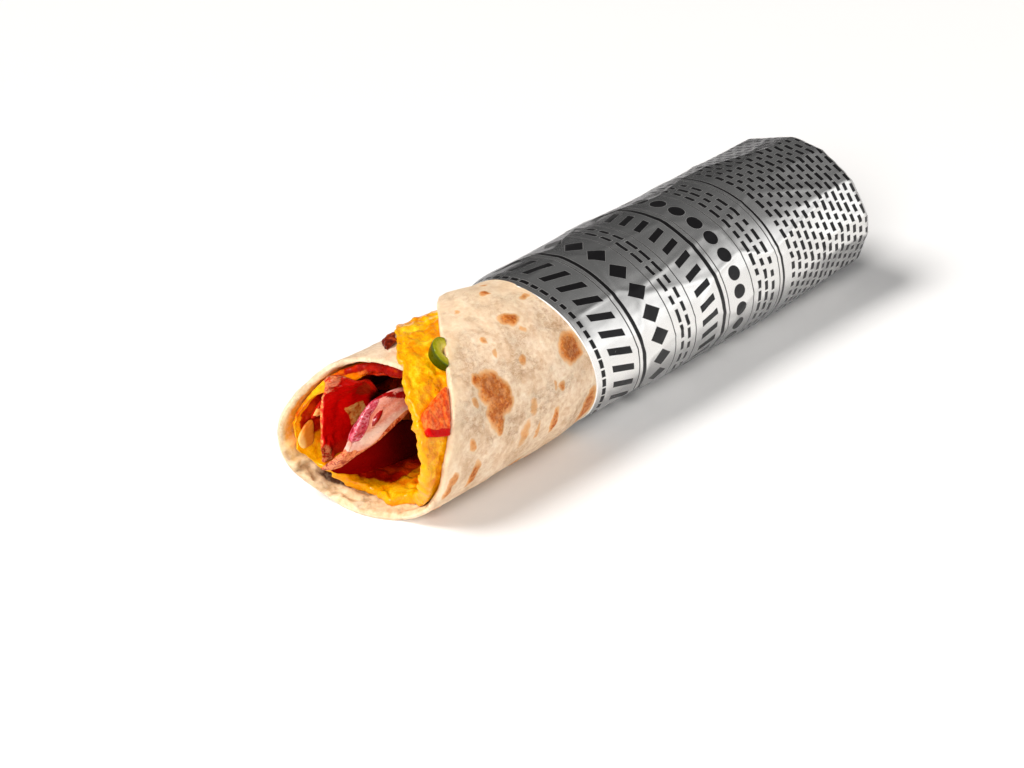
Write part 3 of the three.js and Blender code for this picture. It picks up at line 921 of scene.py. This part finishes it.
def make_egg():
    # The folded rasher's side on the floor: Y and X
    fold_side = through([(-97, -12.0), (-94, -10.0), (-91, -7.0), (-88, -4.8), (-83, -3.0), (-76, -2.2)])

    def mouth(angle):
        along = unrolled(angle, 0 * angle)
        return egg_lip(angle) + (0.7 * lumps(along, 5.0, 51, 2) + 0.9 * lumps(along, 2.2, 52, 2))

    def tail(angle):
        return sheet_tail(angle) - 1

    def shape(angle, y, away):
        flat = unrolled(angle, y)
        free = fall(y, -58, -46)
        covered = smooth(y, tortilla_mouth(angle) - 1, tortilla_mouth(angle) + 2)
        near, _ = cells(flat, 3.6, 61)
        curds = 0.7 * (0.6 - near) + 0.5 * lumps(flat, 2.4, 62, 3) + 0.14 * lumps(flat, 0.9, 68)
        curds = curds - 0.5 * fall(np.abs(lumps(flat * (1, 0.6), 5.0, 66, 2)), 0, 0.12)
        swollen = 0.35 * np.exp(-((away / 2.5) ** 2))
        # A second layer's edge shows just behind the first at the top
        behind = away - 3.0 - 0.7 * lumps(flat * (1, 0), 4.0, 67)
        step = 0.75 * (smooth(behind, -0.5, 0.3) - 0.8) * window(angle, 52, 62, 108, 116)
        # The floor sags off the tortilla at the lower left, and the sheet cuts across the lower right
        sag = 3.2 * np.exp(-(((angle + 129) / 8) ** 2)) * fall(away, 3, 10)
        cut = 1.5 * window(-angle, -4, 24, 58, 80) * fall(away, 6, 16)
        sway = free * 0.3 * lumps(flat, 7.5, 63, 2) * (1 - covered) - sag - cut
        sway = sway - 1.5 * behind_mouth(angle, y)
        relief_out = free * (curds * (1 - 0.8 * covered) + swollen + step * (1 - covered)) + 0.85 * cut
        near_in, _ = cells(flat, 4.0, 64)
        folds = 0.75 * (0.6 - near_in) + 0.55 * lumps(flat, 3.0, 65, 3) + 0.2 * lumps(flat, 1.1, 69, 2)
        folds = folds - 0.6 * fall(np.abs(lumps(flat * (0.7, 1), 5.5, 59, 2)), 0, 0.14)
        # The edge is thin on the left and hangs down above it
        thin = window(-angle, 128, 150, 196, 208) * fall(away, 0.5, 7)
        hanging = 1.2 * window(-angle, 203, 214, 234, 250) * fall(away, 2, 6)
        relief_in = free * folds * (1 - 0.5 * thin) + free * (swollen * (1 - thin) - 1.35 * thin) + hanging
        return sway, relief_out, relief_in

    def marks(angle, y, away):
        turn = -angle
        floor = 0.9 * window(turn, 36, 60, 150, 170) * smooth(away, 2, 6)
        roof = 0.4 * smooth(turn, 200, 218) + 0.6 * smooth(turn, 224, 244)
        left = window(turn, 158, 170, 205, 222)
        right = 0.5 * smooth(away, 5, 11) * fall(turn, 20, 60)
        left_stain = left * (0.6 + 0.4 * smooth(away, 0.0, 1.3))
        deep_roof = smooth(turn, 226, 252)
        # Bacon grease on the floor, along the folded rasher
        stray = 1.4 * lumps(unrolled(angle, y), 3.4, 70, 2)
        past_fold = EGG_FLOOR_RADIUS * np.cos(np.radians(angle)) - fold_side(y) + stray
        greasy = fall(past_fold, 0.0, 3.0) * smooth(away, 3.0, 6.0) * window(turn, 58, 74, 126, 138)
        rim = fall(away, 1.2, 3.6) * (1 - deep_roof)
        above = smooth(turn, 194, 214) * fall(away, 1, 3)
        left_edge = 0.7 * smooth(turn, 146, 166) * fall(away, 1, 3)
        wall_out = np.maximum(0.75 * smooth(turn, 206, 232) * above, 0.55 * left_edge)
        wall_in = np.maximum.reduce([left * smooth(away, 0.9, 2.6), deep_roof * 0.8, 0.8 * greasy])
        stain_out = np.maximum(above, left_edge)
        stain_in = np.maximum.reduce([floor, roof, left_stain, right])
        return {"stain": (stain_out, stain_in), "wall": (wall_out, wall_in), "rim": (rim, rim)}

    rolled("egg", egg_finish(), EGG_FROM, EGG_TO, mouth, tail, egg_outside, egg_inside, shape, marks)


def make_lining():
    def mouth(angle):
        ragged = 0.8 * lumps(unrolled(angle, 0 * angle), 3.5, 71, 2)
        return lerp(egg_lip(angle) + 3.4, egg_lip(angle) + 1.6, smooth(-angle, 222, 246)) + ragged

    def tail(angle):
        return 0 * angle + FILLING_BACK

    def shape(angle, y, away):
        return 0 * y, 0 * y, 0.35 * lumps(unrolled(angle, y) * (1, 0.5), 2.4, 73, 3)

    def marks(angle, y, away):
        across = smooth(-angle, 180, 270)
        stray = 0.3 * lumps(unrolled(angle, y), 2, 74)
        made = dict.fromkeys(BACON_MARKS, (0.0, 0.0))
        made["across"] = across, across
        made["crisp"] = 0.0, 0.4 * fall(away, 0, 2)
        made["pale"] = 0.0, fall(np.hypot((angle + 185) / 5, (y + 92.8) / 1.7) + stray, 0.7, 1.0)
        # Painted shade, darker deeper in the roll
        made["dark"] = 0.0, 0.85 * smooth(y, -78, -70)
        return made

    stripes = [(0.1, 176, 18, 4), (0.4, 146, 4, 2), (0.7, 168, 16, 3), (0.95, 196, 48, 6)]
    rolled(
        "bacon_lining", bacon_finish("bacon_lean_dark", stripes, 0.0, 0.06, 0.04), LINING_FROM, LINING_TO,
        mouth, tail, lining_outside, lining_inside, shape, marks,
    )


# Rashers


def rasher(name, finish, sections, thick, front, width, shape, marks):
    """A strip along the roll. sections: Y, and its line there in X and height above the axis."""
    half = thick / 2
    across = columns(0.0, 1.0, RASHER_ACROSS_STEP / width, half / width)
    back = 0 * across + FILLING_BACK
    y = rows(front(across), back, half, RASHER_STEP, RASHER_FINE, RASHER_ROWS)
    across = np.broadcast_to(across[:, None], y.shape)
    away = y - y[:, :1]
    places = [place for place, _ in sections]
    lines = np.array([line for _, line in sections], float)
    section = np.stack([
        np.stack([through(list(zip(places, lines[:, k, axis])))(y) for axis in range(2)], -1)
        for k in range(lines.shape[1])
    ], -2)
    at, ahead = spline(section, across)
    normal = np.stack([-ahead[..., 1], ahead[..., 0]], -1)
    full = lerp(thick, GATHERED_THICK, smooth(y, -62, -20)) * (1 - 0.4 * (2 * across - 1) ** 4) / 2
    left = edge_share(away, half) * edge_share(np.minimum(across, 1 - across) * width, half)
    left[:, -1] = 0
    flat = np.stack([across * width, y], -1)
    sway, relief_out, relief_in = shape(flat, across, y, away)

    def lay(offset):
        moved = at + normal * offset[..., None]
        return np.stack([moved[..., 0], y, AXIS_HEIGHT + moved[..., 1]], -1)

    outer = lay(sway + left * (full + relief_out))
    inner = lay(sway - left * (full + relief_in))
    values = {"across": across, **dict.fromkeys(BACON_MARKS, 0.0), **marks(across, y, away)}
    sheet(name, outer, inner, finish, {mark: (value, value) for mark, value in values.items()})


def wavy(seed, sway, relief):
    def shape(flat, across, y, away):
        fade = fall(y, -62, -50)
        bend = fade * sway * lumps(flat * (0.6, 1), 7, seed, 2)
        fibre = relief * lumps(flat * (1, 0.35), 1.6, seed + 1, 3) + relief * lumps(flat, 3.5, seed + 2, 2)
        return bend, fade * fibre, fade * fibre

    return shape


def front_line(pairs, width, seed):
    line = through(pairs)
    return lambda a: line(a) + 0.5 * lumps(np.stack([a * width, 0 * a], -1), 2.6, seed, 2)


def blot(across, y, at, half_across, along, half_along):
    """An uneven patch, 1 in its middle and 0 outside."""
    stray = 0.35 * lumps(np.stack([across * 22, y], -1), 2.2, 86, 3)
    return fall(np.hypot((across - at) / half_across, (y - along) / half_along) + stray, 0.7, 1.1)


def make_left_rasher():
    width = 29.0

    def patch(across, y, corners):
        """1 inside the corners, in millimetres across and along, turning left; its edge wanders."""
        u = across * width
        inside = 9.0
        for (u0, y0), (u1, y1) in zip(corners, corners[1:] + corners[:1]):
            side = ((u1 - u0) * (y - y0) - (y1 - y0) * (u - u0)) / math.hypot(u1 - u0, y1 - y0)
            inside = np.minimum(inside, side)
        return smooth(inside + 0.6 * lumps(np.stack([u, y], -1), 2.0, 87, 3), -0.4, 0.4)

    def shape(flat, across, y, away):
        bend, out, back = wavy(82, 0.7, 0.26)(flat, across, y, away)
        top = smooth(across, 0.66, 0.76) * fall(away, 2.4, 4.4)
        foot = fall(across, 0.12, 0.24) * fall(away, 3, 6)
        rough = 0.3 + 1.3 * lumps(flat, 2.2, 85, 2) + 0.6 * lumps(flat, 1.0, 88, 2)
        lump = np.maximum(top, foot) * rough
        return bend, out + lump, back + lump

    def marks(across, y, away):
        rim = fall(away, 0.1, 0.6)
        top = smooth(across, 0.66, 0.74) * fall(away, 2.2, 3.8)
        foot = fall(across, 0.10, 0.22) * fall(away, 2.4, 5)
        fat = patch(across, y, [(5.8, -84), (10.7, -86.5), (11.2, -80), (6.4, -77)])
        return {
            "crisp": np.maximum(0.5 * top, 0.6 * foot),
            "pale": np.maximum(0.5 * rim, 0.8 * fat),
            "browned": np.maximum(blot(across, y, 0.62, 0.18, -81.2, 2.6), 0.55 * np.maximum(top, foot)),
            # Painted shade where the rasher goes deeper into the roll
            "dark": 0.97 * smooth(y, -79.5, -76),
        }

    stripes = [
        (0.0, 196, 50, 24), (0.12, 216, 9, 4), (0.4, 228, 7, 4), (0.7, 200, 5, 3), (0.9, 204, 16, 7),
        (1.0, 176, 30, 14),
    ]
    sections = [
        (-95, [(-15, -12.6), (-15.9, -5), (-15.6, 3), (-14.6, 9), (-13.8, 12.8), (-15.2, 16.4)]),
        (-90, [(-15, -12.4), (-15.7, -5), (-15.2, 3), (-13.6, 9.2), (-12, 13), (-10.9, 15.8)]),
        (-86, [(-15, -12.2), (-15.5, -4.8), (-14.8, 3.1), (-12.8, 8.8), (-10.9, 11.7), (-9.4, 13.2)]),
        (-82, [(-15, -12), (-15.2, -4.6), (-14.4, 3.2), (-12.4, 8.2), (-10.4, 10.8), (-8.8, 12)]),
        (-79, [(-15, -11.5), (-15.2, -4.6), (-14.4, 2.4), (-12.8, 5.6), (-11, 7.6), (-9.4, 8.4)]),
        (-75, [(-15, -10.5), (-15.4, -5), (-15, 0), (-14, 2), (-13, 3.4), (-12, 4)]),
        (-68, [(-15, -8), (-14.4, -4), (-13, -1.5), (-11, 0.5), (-9, 2), (-7, 3)]),
        (-56, [(-14.5, -2), (-10.5, 3.2), (-5.5, 7), (0, 8.8), (6, 8.8), (12.5, 6.5)]),
    ]
    front = front_line([(0, -95.2), (0.5, -94.6), (0.8, -94.4), (0.92, -93.4), (1, -91.6)], width, 81)
    rasher("bacon_left", bacon_finish("bacon_lean", stripes), sections, 1.1, front, width, shape, marks)


def make_leaf():
    """Lean along the front, white fat below it, a dark rind over the top and a crisp lower edge."""
    width = 13.0
    lean_from = through([(0.3, -90.2), (0.37, -91.2), (0.48, -92.6), (0.6, -93.3), (1, -94)])
    lean_to = through([
        (0.3, -91), (0.37, -90.6), (0.42, -89.4), (0.59, -87.4), (0.74, -86.2), (0.82, -84.2), (1, -82),
    ])
    rind_from = through([(-86, 1.02), (-83.6, 0.97), (-80.6, 0.88), (-77.6, 0.73), (-74.2, 0.57)])
    rind_to = through([(-86, 1.06), (-82, 1.03), (-79.8, 1.0), (-77.6, 0.96), (-75.4, 0.89), (-73, 0.8)])
    crisp_to = through([
        (-97.5, 0.62), (-94.6, 0.52), (-93, 0.3), (-91, 0.15), (-88.4, 0.09), (-85.5, 0.11), (-83, 0.19),
        (-80, 0.22),
    ])

    def blood_drop(across, y):
        """How far a place is inside the drop, 1 in its middle."""
        lined_up = across - 0.605 - 0.035 * (y + 84.5)
        return np.clip(1 - (lined_up / 0.105) ** 2 - ((y + 84.5) / 2.3) ** 2, 0, 1)

    def shape(flat, across, y, away):
        bend, out, back = wavy(92, 0.35, 0.16)(flat, across, y, away)
        drop = 0.9 * blood_drop(across, y)
        return bend, out + drop, back + drop

    def marks(across, y, away):
        lower = fall(across - crisp_to(y), -0.05, 0.05)
        tail = fall(y, -95.5, -93.8)
        muscle = fall(y - lean_to(across), -0.8, 0.8) * smooth(y - lean_from(across), -0.5, 0.5)
        muscle = muscle * smooth(across, 0.32, 0.4)
        rind = smooth(across - rind_from(y), -0.05, 0.03) * fall(across - rind_to(y), -0.02, 0.05)
        drop = smooth(blood_drop(across, y), 0.0, 0.3)
        return {
            "across": across - 0.13 * fall(y, -93.5, -88.5) * smooth(across, 0.2, 0.4),
            "crisp": np.maximum(lower * 0.75, 0.8 * tail),
            "lean": 0.9 * muscle * (1 - lower),
            "blood": np.maximum(drop, 0.6 * rind * smooth(y, -86, -84)),
            "pale": 0.7 * blot(across, y, 0.12, 0.14, -76, 3.0),
            # Painted shade where the leaf goes deeper into the roll
            "dark": 0.9 * smooth(y, -74, -68),
        }

    stripes = [
        (0.06, 222, 140, 100), (0.15, 240, 204, 180), (0.26, 238, 208, 190), (0.36, 232, 196, 176),
        (0.46, 228, 146, 122), (0.58, 238, 168, 140), (0.72, 226, 132, 108), (0.86, 238, 168, 148),
        (1.0, 232, 152, 138),
    ]
    sections = [
        (-97.5, [(-13.9, -13.4), (-9.8, -9.2), (-6, -5), (-5.6, -1.5), (-6.5, 1.5)]),
        (-94.5, [(-9.4, -12.0), (-7.4, -8.0), (-5.8, -4.4), (-5.5, -1.4), (-6.5, 2.2)]),
        (-92, [(-6.4, -8.8), (-5.4, -4), (-5.4, -1.4), (-5.8, 1.6), (-6.6, 4.2)]),
        (-85, [(-2.6, -4.2), (-3.2, -1.6), (-3.9, 1.2), (-4.7, 4.2), (-5.4, 7.4)]),
        (-77, [(-1.8, -0.8), (-2.2, 1.6), (-2.8, 4.2), (-3.3, 6.6), (-3.8, 9)]),
        (-70, [(-1.5, 0.5), (-1.6, 2.2), (-2.2, 3.8), (-3.2, 5.2), (-4.5, 6.2)]),
        (-50, [(14.5, -1.5), (9, 0.2), (4, 1), (-1, 0), (-6.5, -2)]),
    ]
    front = front_line([(0, -97.4), (0.37, -96.3), (0.7, -91.4), (0.85, -88.2), (1, -84.2)], width, 91)
    finish = bacon_finish("bacon_streaky", stripes, 0.45, 0.7)
    rasher("bacon_leaf", finish, sections, 1.8, front, width, shape, marks)


def make_fold():
    width = 18.0

    def marks(across, y, away):
        # Painted shade, darker towards the back and across the fold
        return {"dark": 0.95 * smooth(y + 3 * across, -93, -72)}

    # Painted shade: the fold's lean is coloured darker all over than the other rashers', as it lies in shadow
    stripes = [(0.0, 146, 8, 3), (0.15, 124, 3, 2), (0.6, 108, 2, 2), (0.9, 130, 6, 3)]
    sections = [
        (-97, [(-13.8, -13.0), (-12.8, -13.4), (-12.0, -13.0), (-11.8, -12.2), (-12.4, -11.2)]),
        (-94, [(-13.0, -13.2), (-11.4, -13.7), (-10.0, -13.0), (-9.6, -11.4), (-10.6, -9.8)]),
        (-91, [(-11.6, -13.4), (-9.0, -14.0), (-7.0, -12.8), (-6.5, -9.8), (-8.0, -6.6)]),
        (-88, [(-10.8, -13.3), (-7.4, -14), (-4.8, -12.7), (-4.2, -8.8), (-6.0, -4.6)]),
        (-83, [(-10, -13.6), (-6.2, -14.4), (-3.0, -13.0), (-2.4, -8.6), (-3.6, -2.8)]),
        (-76, [(-9.5, -14.2), (-5.5, -15), (-2.2, -13.6), (-1.2, -8.8), (-2.2, -1.2)]),
        (-54, [(-11, -11.5), (-3, -9.7), (5, -8.4), (11, -8), (15, -8.5)]),
    ]
    front = front_line([(0, -94.0), (0.3, -95.0), (0.6, -95.4), (1, -95.6)], width, 101)
    finish = bacon_finish("bacon_lean_deep", stripes, 0.0, 0.0, 0.0)
    rasher("bacon_fold", finish, sections, 2.4, front, width, wavy(102, 0.7, 0.24), marks)


# Small pieces


def make_crisp():
    points, faces = ball((2.2, 3.1, 0.95), 0.9)
    points = points * (1 + 0.4 * lumps(points, 2.0, 111, 2))[:, None]
    points[:, 0] *= 1 - 0.6 * smooth(points[:, 1], -1, 3)
    points[:, 2] -= 0.35 * points[:, 1]
    piece("bacon_crisp", set_on_roll(points, 111, -74.4, 23.2, 20), faces, crisp_finish())


def make_onion():
    points, faces = ball((5.2, 2.7, 0.8), 0.85)
    points = points * (1 + 0.2 * lumps(points, 2.6, 112, 2))[:, None]
    upper = smooth(-points[:, 0], -1, 5)
    points[:, 1] = points[:, 1] * (1 - 0.5 * upper) - 2.4 * upper
    points[:, 2] -= 0.04 * points[:, 1] ** 2
    pale = smooth(points[:, 1], 0.0, 1.8) * (1 - upper)
    piece("onion", wrapped(points, 192.5, -97.0, 21.0), faces, onion_finish(), {"pale": pale})


def make_tomato():
    wedge = [
        (5.9, -7.8), (5.5, -4.4), (4.3, -1.2), (2.4, 3.7), (-0.7, 4.6),
        (-3.9, 4.7), (-5.3, 1.8), (-6.3, -1.4), (-5.6, -3.0), (0, -5.9),
    ]
    points, faces = slab(wedge, 0.0, 2.6, 0.9)
    u, v = points[:, 0], points[:, 1]
    skin = smooth(-2.0 - u + 0.37 * (v - 3.9) + 0.9 * lumps(points, 2.6, 117, 2), -0.8, 0.8)
    near, _ = cells(points * (0.7, 1, 1), 1.6, 113)
    grain = 0.4 * lumps(points * (0.6, 1, 1), 1.5, 114, 3) + 0.3 * (0.6 - near)
    top = smooth(points[:, 2], 1.6, 2.6)
    flap_edge = -5.3 - 0.49 * u
    points[:, 2] += top * (grain * (1 - 0.7 * skin) - 1.2 * smooth(flap_edge - v, -1.2, 0.6))
    stray = np.stack([lumps(points, 2.0, 115), lumps(points, 2.0, 116)], -1)
    points[:, :2] += 0.25 * (1 - top)[:, None] * stray
    piece("tomato", wrapped(points, 34, -85, 23.9), faces, tomato_finish(), {"skin": skin})


def make_chilli():
    """Part of a ring with its axis outward, its inside sloped like the pith of a slice."""
    outer, inner, height = 5.2, 2.2, 3.9
    soft, boxy = 0.12, 0.45
    swing = np.concatenate([
        rounding(soft), np.linspace(soft, np.pi - soft, 48), np.pi - rounding(soft)[::-1],
    ])
    section = np.linspace(0, 2 * np.pi, 40, endpoint=False)
    wide, tall = (outer - inner) / 2, height / 2
    across, up = squared(np.cos(section), boxy), squared(np.sin(section), boxy)
    slope = 1.9 * (0.5 - 0.5 * across) * (0.5 - 0.5 * up)
    end = 0.25 + 0.75 * edge_share(np.minimum(swing, np.pi - swing), soft)[:, None]
    swing = swing[:, None]
    away = (inner + outer) / 2 + (across * wide - slope) * end
    lift = tall + up * tall * end
    # The cut face slopes down towards the flap
    lift = lift * (0.78 + 0.62 * (away * np.sin(swing) / outer))
    grid = np.stack([away * np.cos(swing), away * np.sin(swing), lift], -1)
    grid = grid + 0.12 * np.stack([lumps(grid, 2.0, 121 + k, 2) for k in range(3)], -1)
    count, loop = grid.shape[:2]
    index = np.arange(count * loop).reshape(count, loop)
    ahead = np.roll(index, -1, 1)
    quads = np.stack([ahead[:-1], ahead[1:], index[1:], index[:-1]], -1).reshape(-1, 4)
    faces = quads.tolist() + [index[0].tolist(), index[-1][::-1].tolist()]
    pith = 0.5 - 0.5 * across
    flesh = np.maximum(smooth(pith, 0.3, 1.0), smooth(up, 0.7, 0.95) * (0.2 + 0.8 * pith))
    points = set_on_roll(grid.reshape(-1, 3), 66.0, -69.9, 23.6, -37.0)
    piece("chilli", points, faces, chilli_finish(), {"flesh": np.tile(flesh, count)})


# Sleeve


def folded(angle):
    """The sleeve's radius at its folded end, straight between corners, and how far on to the next one."""
    at, radius = np.array(FOIL_CORNERS, float).T
    turned = (angle - at[0]) % 360 + at[0]
    here = np.searchsorted(at, turned, side="right") - 1
    ahead = (here + 1) % len(at)
    width, past = np.radians((at[ahead] - at[here]) % 360), np.radians(turned - at[here])
    first, second = radius[here], radius[ahead]
    straight = first * second * np.sin(width) / (first * np.sin(past) + second * np.sin(width - past))
    return straight, past / width


def make_foil():
    """A leaning cup of crinkled foil with its far end tucked in."""
    a = np.arange(0, 360, 1.25)[:, None]
    outer = ROLL_RADIUS
    # Along the sleeve: in from inside its mouth, over the edge, along the wall and over the far end
    hidden = FOIL_FRONT + np.array([34, 24, 16, 10, 6, 3, 1.2, 0.3])
    walls = np.arange(FOIL_FRONT, FOIL_BACK, 0.9)
    end = np.linspace(0, 1, 34)[1:]
    places = [0, 0.1, 0.2, 0.58, 1.0]
    tucked = FOIL_END - FOIL_TUCK
    end_r = np.interp(end, places, [outer, outer * 0.965, outer * 0.88, outer * 0.5, 0.02])
    end_y = np.interp(end, places, [FOIL_BACK, FOIL_BACK + 1.7, FOIL_END, FOIL_END - 0.6 * FOIL_TUCK, tucked])
    edge_r, wall_r = [outer - FOIL_SKIN / 2], np.full(len(walls), outer)
    full = np.concatenate([np.full(len(hidden), outer - FOIL_SKIN), edge_r, wall_r, end_r])
    base = np.concatenate([hidden, [FOIL_FRONT - FOIL_SKIN / 2], walls, end_y])
    shown = np.concatenate([np.zeros(len(hidden)), np.ones(1 + len(walls) + len(end_r))])
    along = np.concatenate([hidden, [FOIL_FRONT], walls, FOIL_BACK + outer - end_r]) - FOIL_FRONT
    turn = np.radians(a)
    share = full / ROLL_RADIUS
    away = base - FOIL_FRONT
    y = base - FOIL_LEAN * full * lean(a)
    spot = np.stack(np.broadcast_arrays(full * np.cos(turn), y, full * np.sin(turn)), -1)
    near, second = cells(spot * (1, 0.5, 1), 17.0, 131)
    facets = 0.7 * (near**2 - 0.35) + 0.2 * np.exp(-(((second - near) / 0.07) ** 2))
    dents = facets + 0.6 * lumps(spot * (1, 0.5, 1), 24, 133, 2) + 0.06 * lumps(spot, 4.0, 132, 2)
    calm = smooth(away, 0, 9)
    pinch = 0.62 * fall(away, 0, 5.5)
    relief = np.minimum(dents * (0.25 + 0.75 * calm) + lerp(-0.35, 0.3, smooth(away, 3, 30)), 0.9)
    # Towards the far end the sleeve is folded flat between corners, and the folds go in to its middle
    straight, between = folded(a + 26 * (1 - share))
    corners = smooth(base, 56, 101) * (straight - outer)
    radius = full + share * (relief * (1 - 0.5 * smooth(base, 80, 101)) + corners - flattened(a) - pinch)
    crumple = 1.7 * 4 * share * (1 - share) * (between - 0.5) + 0.5 * share * lumps(spot, 5.0, 134, 2)
    crease = np.where(base > FOIL_BACK, crumple, 0)
    height = np.maximum(AXIS_HEIGHT + radius * np.sin(turn), 0)
    grid = np.stack([radius * np.cos(turn), y + crease, height], -1)
    count, length = grid.shape[:2]
    index = np.arange(count * length).reshape(count, length)
    ahead = np.roll(index, -1, 0)
    quads = np.stack([ahead[:, :-1], ahead[:, 1:], index[:, 1:], index[:, :-1]], -1).reshape(-1, 4)
    faces = quads.tolist() + [index[::-1, -1].tolist()]
    marks = {"outside": np.tile(shown, count), "along": np.tile(along, count)}
    piece("foil_sleeve", grid.reshape(-1, 3), faces, foil_finish(), marks)


make_tortilla()
make_egg()
make_lining()
make_left_rasher()
make_leaf()
make_fold()
make_crisp()
make_onion()
make_tomato()
make_chilli()
make_foil()


# Stage

CAMERA_TURN, CAMERA_RISE, CAMERA_AWAY = 43.57, 32.0, 0.7565
CAMERA_ASIDE, CAMERA_LIFT, CAMERA_DROP = -0.02254, 0.00286, 0.0013
FOCAL_PIXELS, PICTURE_WIDTH = 2446, 1024
FLOOR_HALF = 20.0
WORLD_STRENGTH = 1.32
KEY_STRENGTH, KEY_SPREAD, KEY_TOWARDS = 3.1, 0.42, (0.36, 0.72, -1)
FRONT_WATTS, FRONT_SIZE, FRONT_PLACE = 13, (0.5, 0.45), (0.6, -1.2, 0.9)
FRONT_TARGET = (0, 0, 0.02)


def make_camera():
    turn, rise = math.radians(CAMERA_TURN), math.radians(CAMERA_RISE)
    back = Vector((math.sin(turn) * math.cos(rise), -math.cos(turn) * math.cos(rise), math.sin(rise)))
    right = Vector((math.cos(turn), math.sin(turn), 0))
    up = back.cross(right)
    lens = bpy.data.cameras.new("camera")
    lens.sensor_width = 36
    lens.lens = 36 * FOCAL_PIXELS / PICTURE_WIDTH
    camera = bpy.data.objects.new("camera", lens)
    aim = Vector((0, -MIDDLE_Y / 1000, -CAMERA_DROP))
    camera.location = back * CAMERA_AWAY + right * CAMERA_ASIDE + up * CAMERA_LIFT + aim
    camera.rotation_mode = "QUATERNION"
    camera.rotation_quaternion = Matrix((right, up, back)).transposed().to_quaternion()
    bpy.context.scene.collection.objects.link(camera)
    bpy.context.scene.camera = camera


def make_floor():
    mesh = bpy.data.meshes.new("floor")
    corners = [(FLOOR_HALF * x, FLOOR_HALF * y, 0) for x, y in ((-1, -1), (1, -1), (1, 1), (-1, 1))]
    mesh.from_pydata(corners, [], [(0, 1, 2, 3)])
    f = new_finish("pale_floor")
    mottle = f.noise(f.place(), 180, 2)
    shade = f.mix(mottle, (0.92, 0.917, 0.912), (0.94, 0.937, 0.932))
    mesh.materials.append(f.surface(Base_Color=shade, Roughness=0.85, Specular_IOR_Level=0.2).material)
    floor = bpy.data.objects.new("floor", mesh)
    bpy.context.scene.collection.objects.link(floor)


def put_up(light, colour, place, towards):
    """Hangs a lamp at a place and turns it to shine in a direction."""
    light.color = colour
    lamp = bpy.data.objects.new(light.name, light)
    lamp.location = place
    lamp.rotation_mode = "QUATERNION"
    lamp.rotation_quaternion = towards.to_track_quat("-Z", "Y")
    bpy.context.scene.collection.objects.link(lamp)


def make_lights():
    """A bright side low on the right, a dim ceiling, a high key from the front left and a fill in front."""
    world = bpy.data.worlds.new("studio")
    f = Finish(world)
    toward = f.node("TexCoord", out="Generated")
    x, y, z = (f.node("SeparateXYZ", None, [toward], out=k) for k in range(3))

    def greys(stops):
        stops = [(place, (shade, shade, shade)) for place, shade in stops]
        return f.node("ValToRGB", {"stops": stops}, {"Fac": x * 0.5 + 0.5})

    right_side = greys([(0.0, 0.06), (0.45, 0.07), (0.58, 0.16), (0.7, 0.5), (0.82, 1.05)])
    far_ceiling = greys([(0.2, 0.085), (0.45, 0.11), (0.58, 0.135), (0.71, 0.2), (0.81, 0.5)])
    ceiling = f.mix(f.step(y, 0.2, 0.6), (0.07, 0.07, 0.07), far_ceiling)
    colour = f.mix(f.step(z, 0.06, 0.54), right_side, ceiling)
    shader = f.node("Background", None, {"Color": colour, "Strength": WORLD_STRENGTH})
    f.node("OutputWorld", None, {"Surface": shader})
    bpy.context.scene.world = world
    key = bpy.data.lights.new("key", "SUN")
    key.energy = KEY_STRENGTH
    key.angle = KEY_SPREAD
    put_up(key, (1, 0.975, 0.95), (0, 0, 0), Vector(KEY_TOWARDS))
    front = bpy.data.lights.new("front", "AREA")
    front.shape = "RECTANGLE"
    front.size, front.size_y = FRONT_SIZE
    front.energy = FRONT_WATTS
    put_up(front, (1, 0.98, 0.96), FRONT_PLACE, Vector(FRONT_TARGET) - Vector(FRONT_PLACE))


make_camera()
make_floor()
make_lights()
bpy.context.scene.view_settings.view_transform = "Standard"
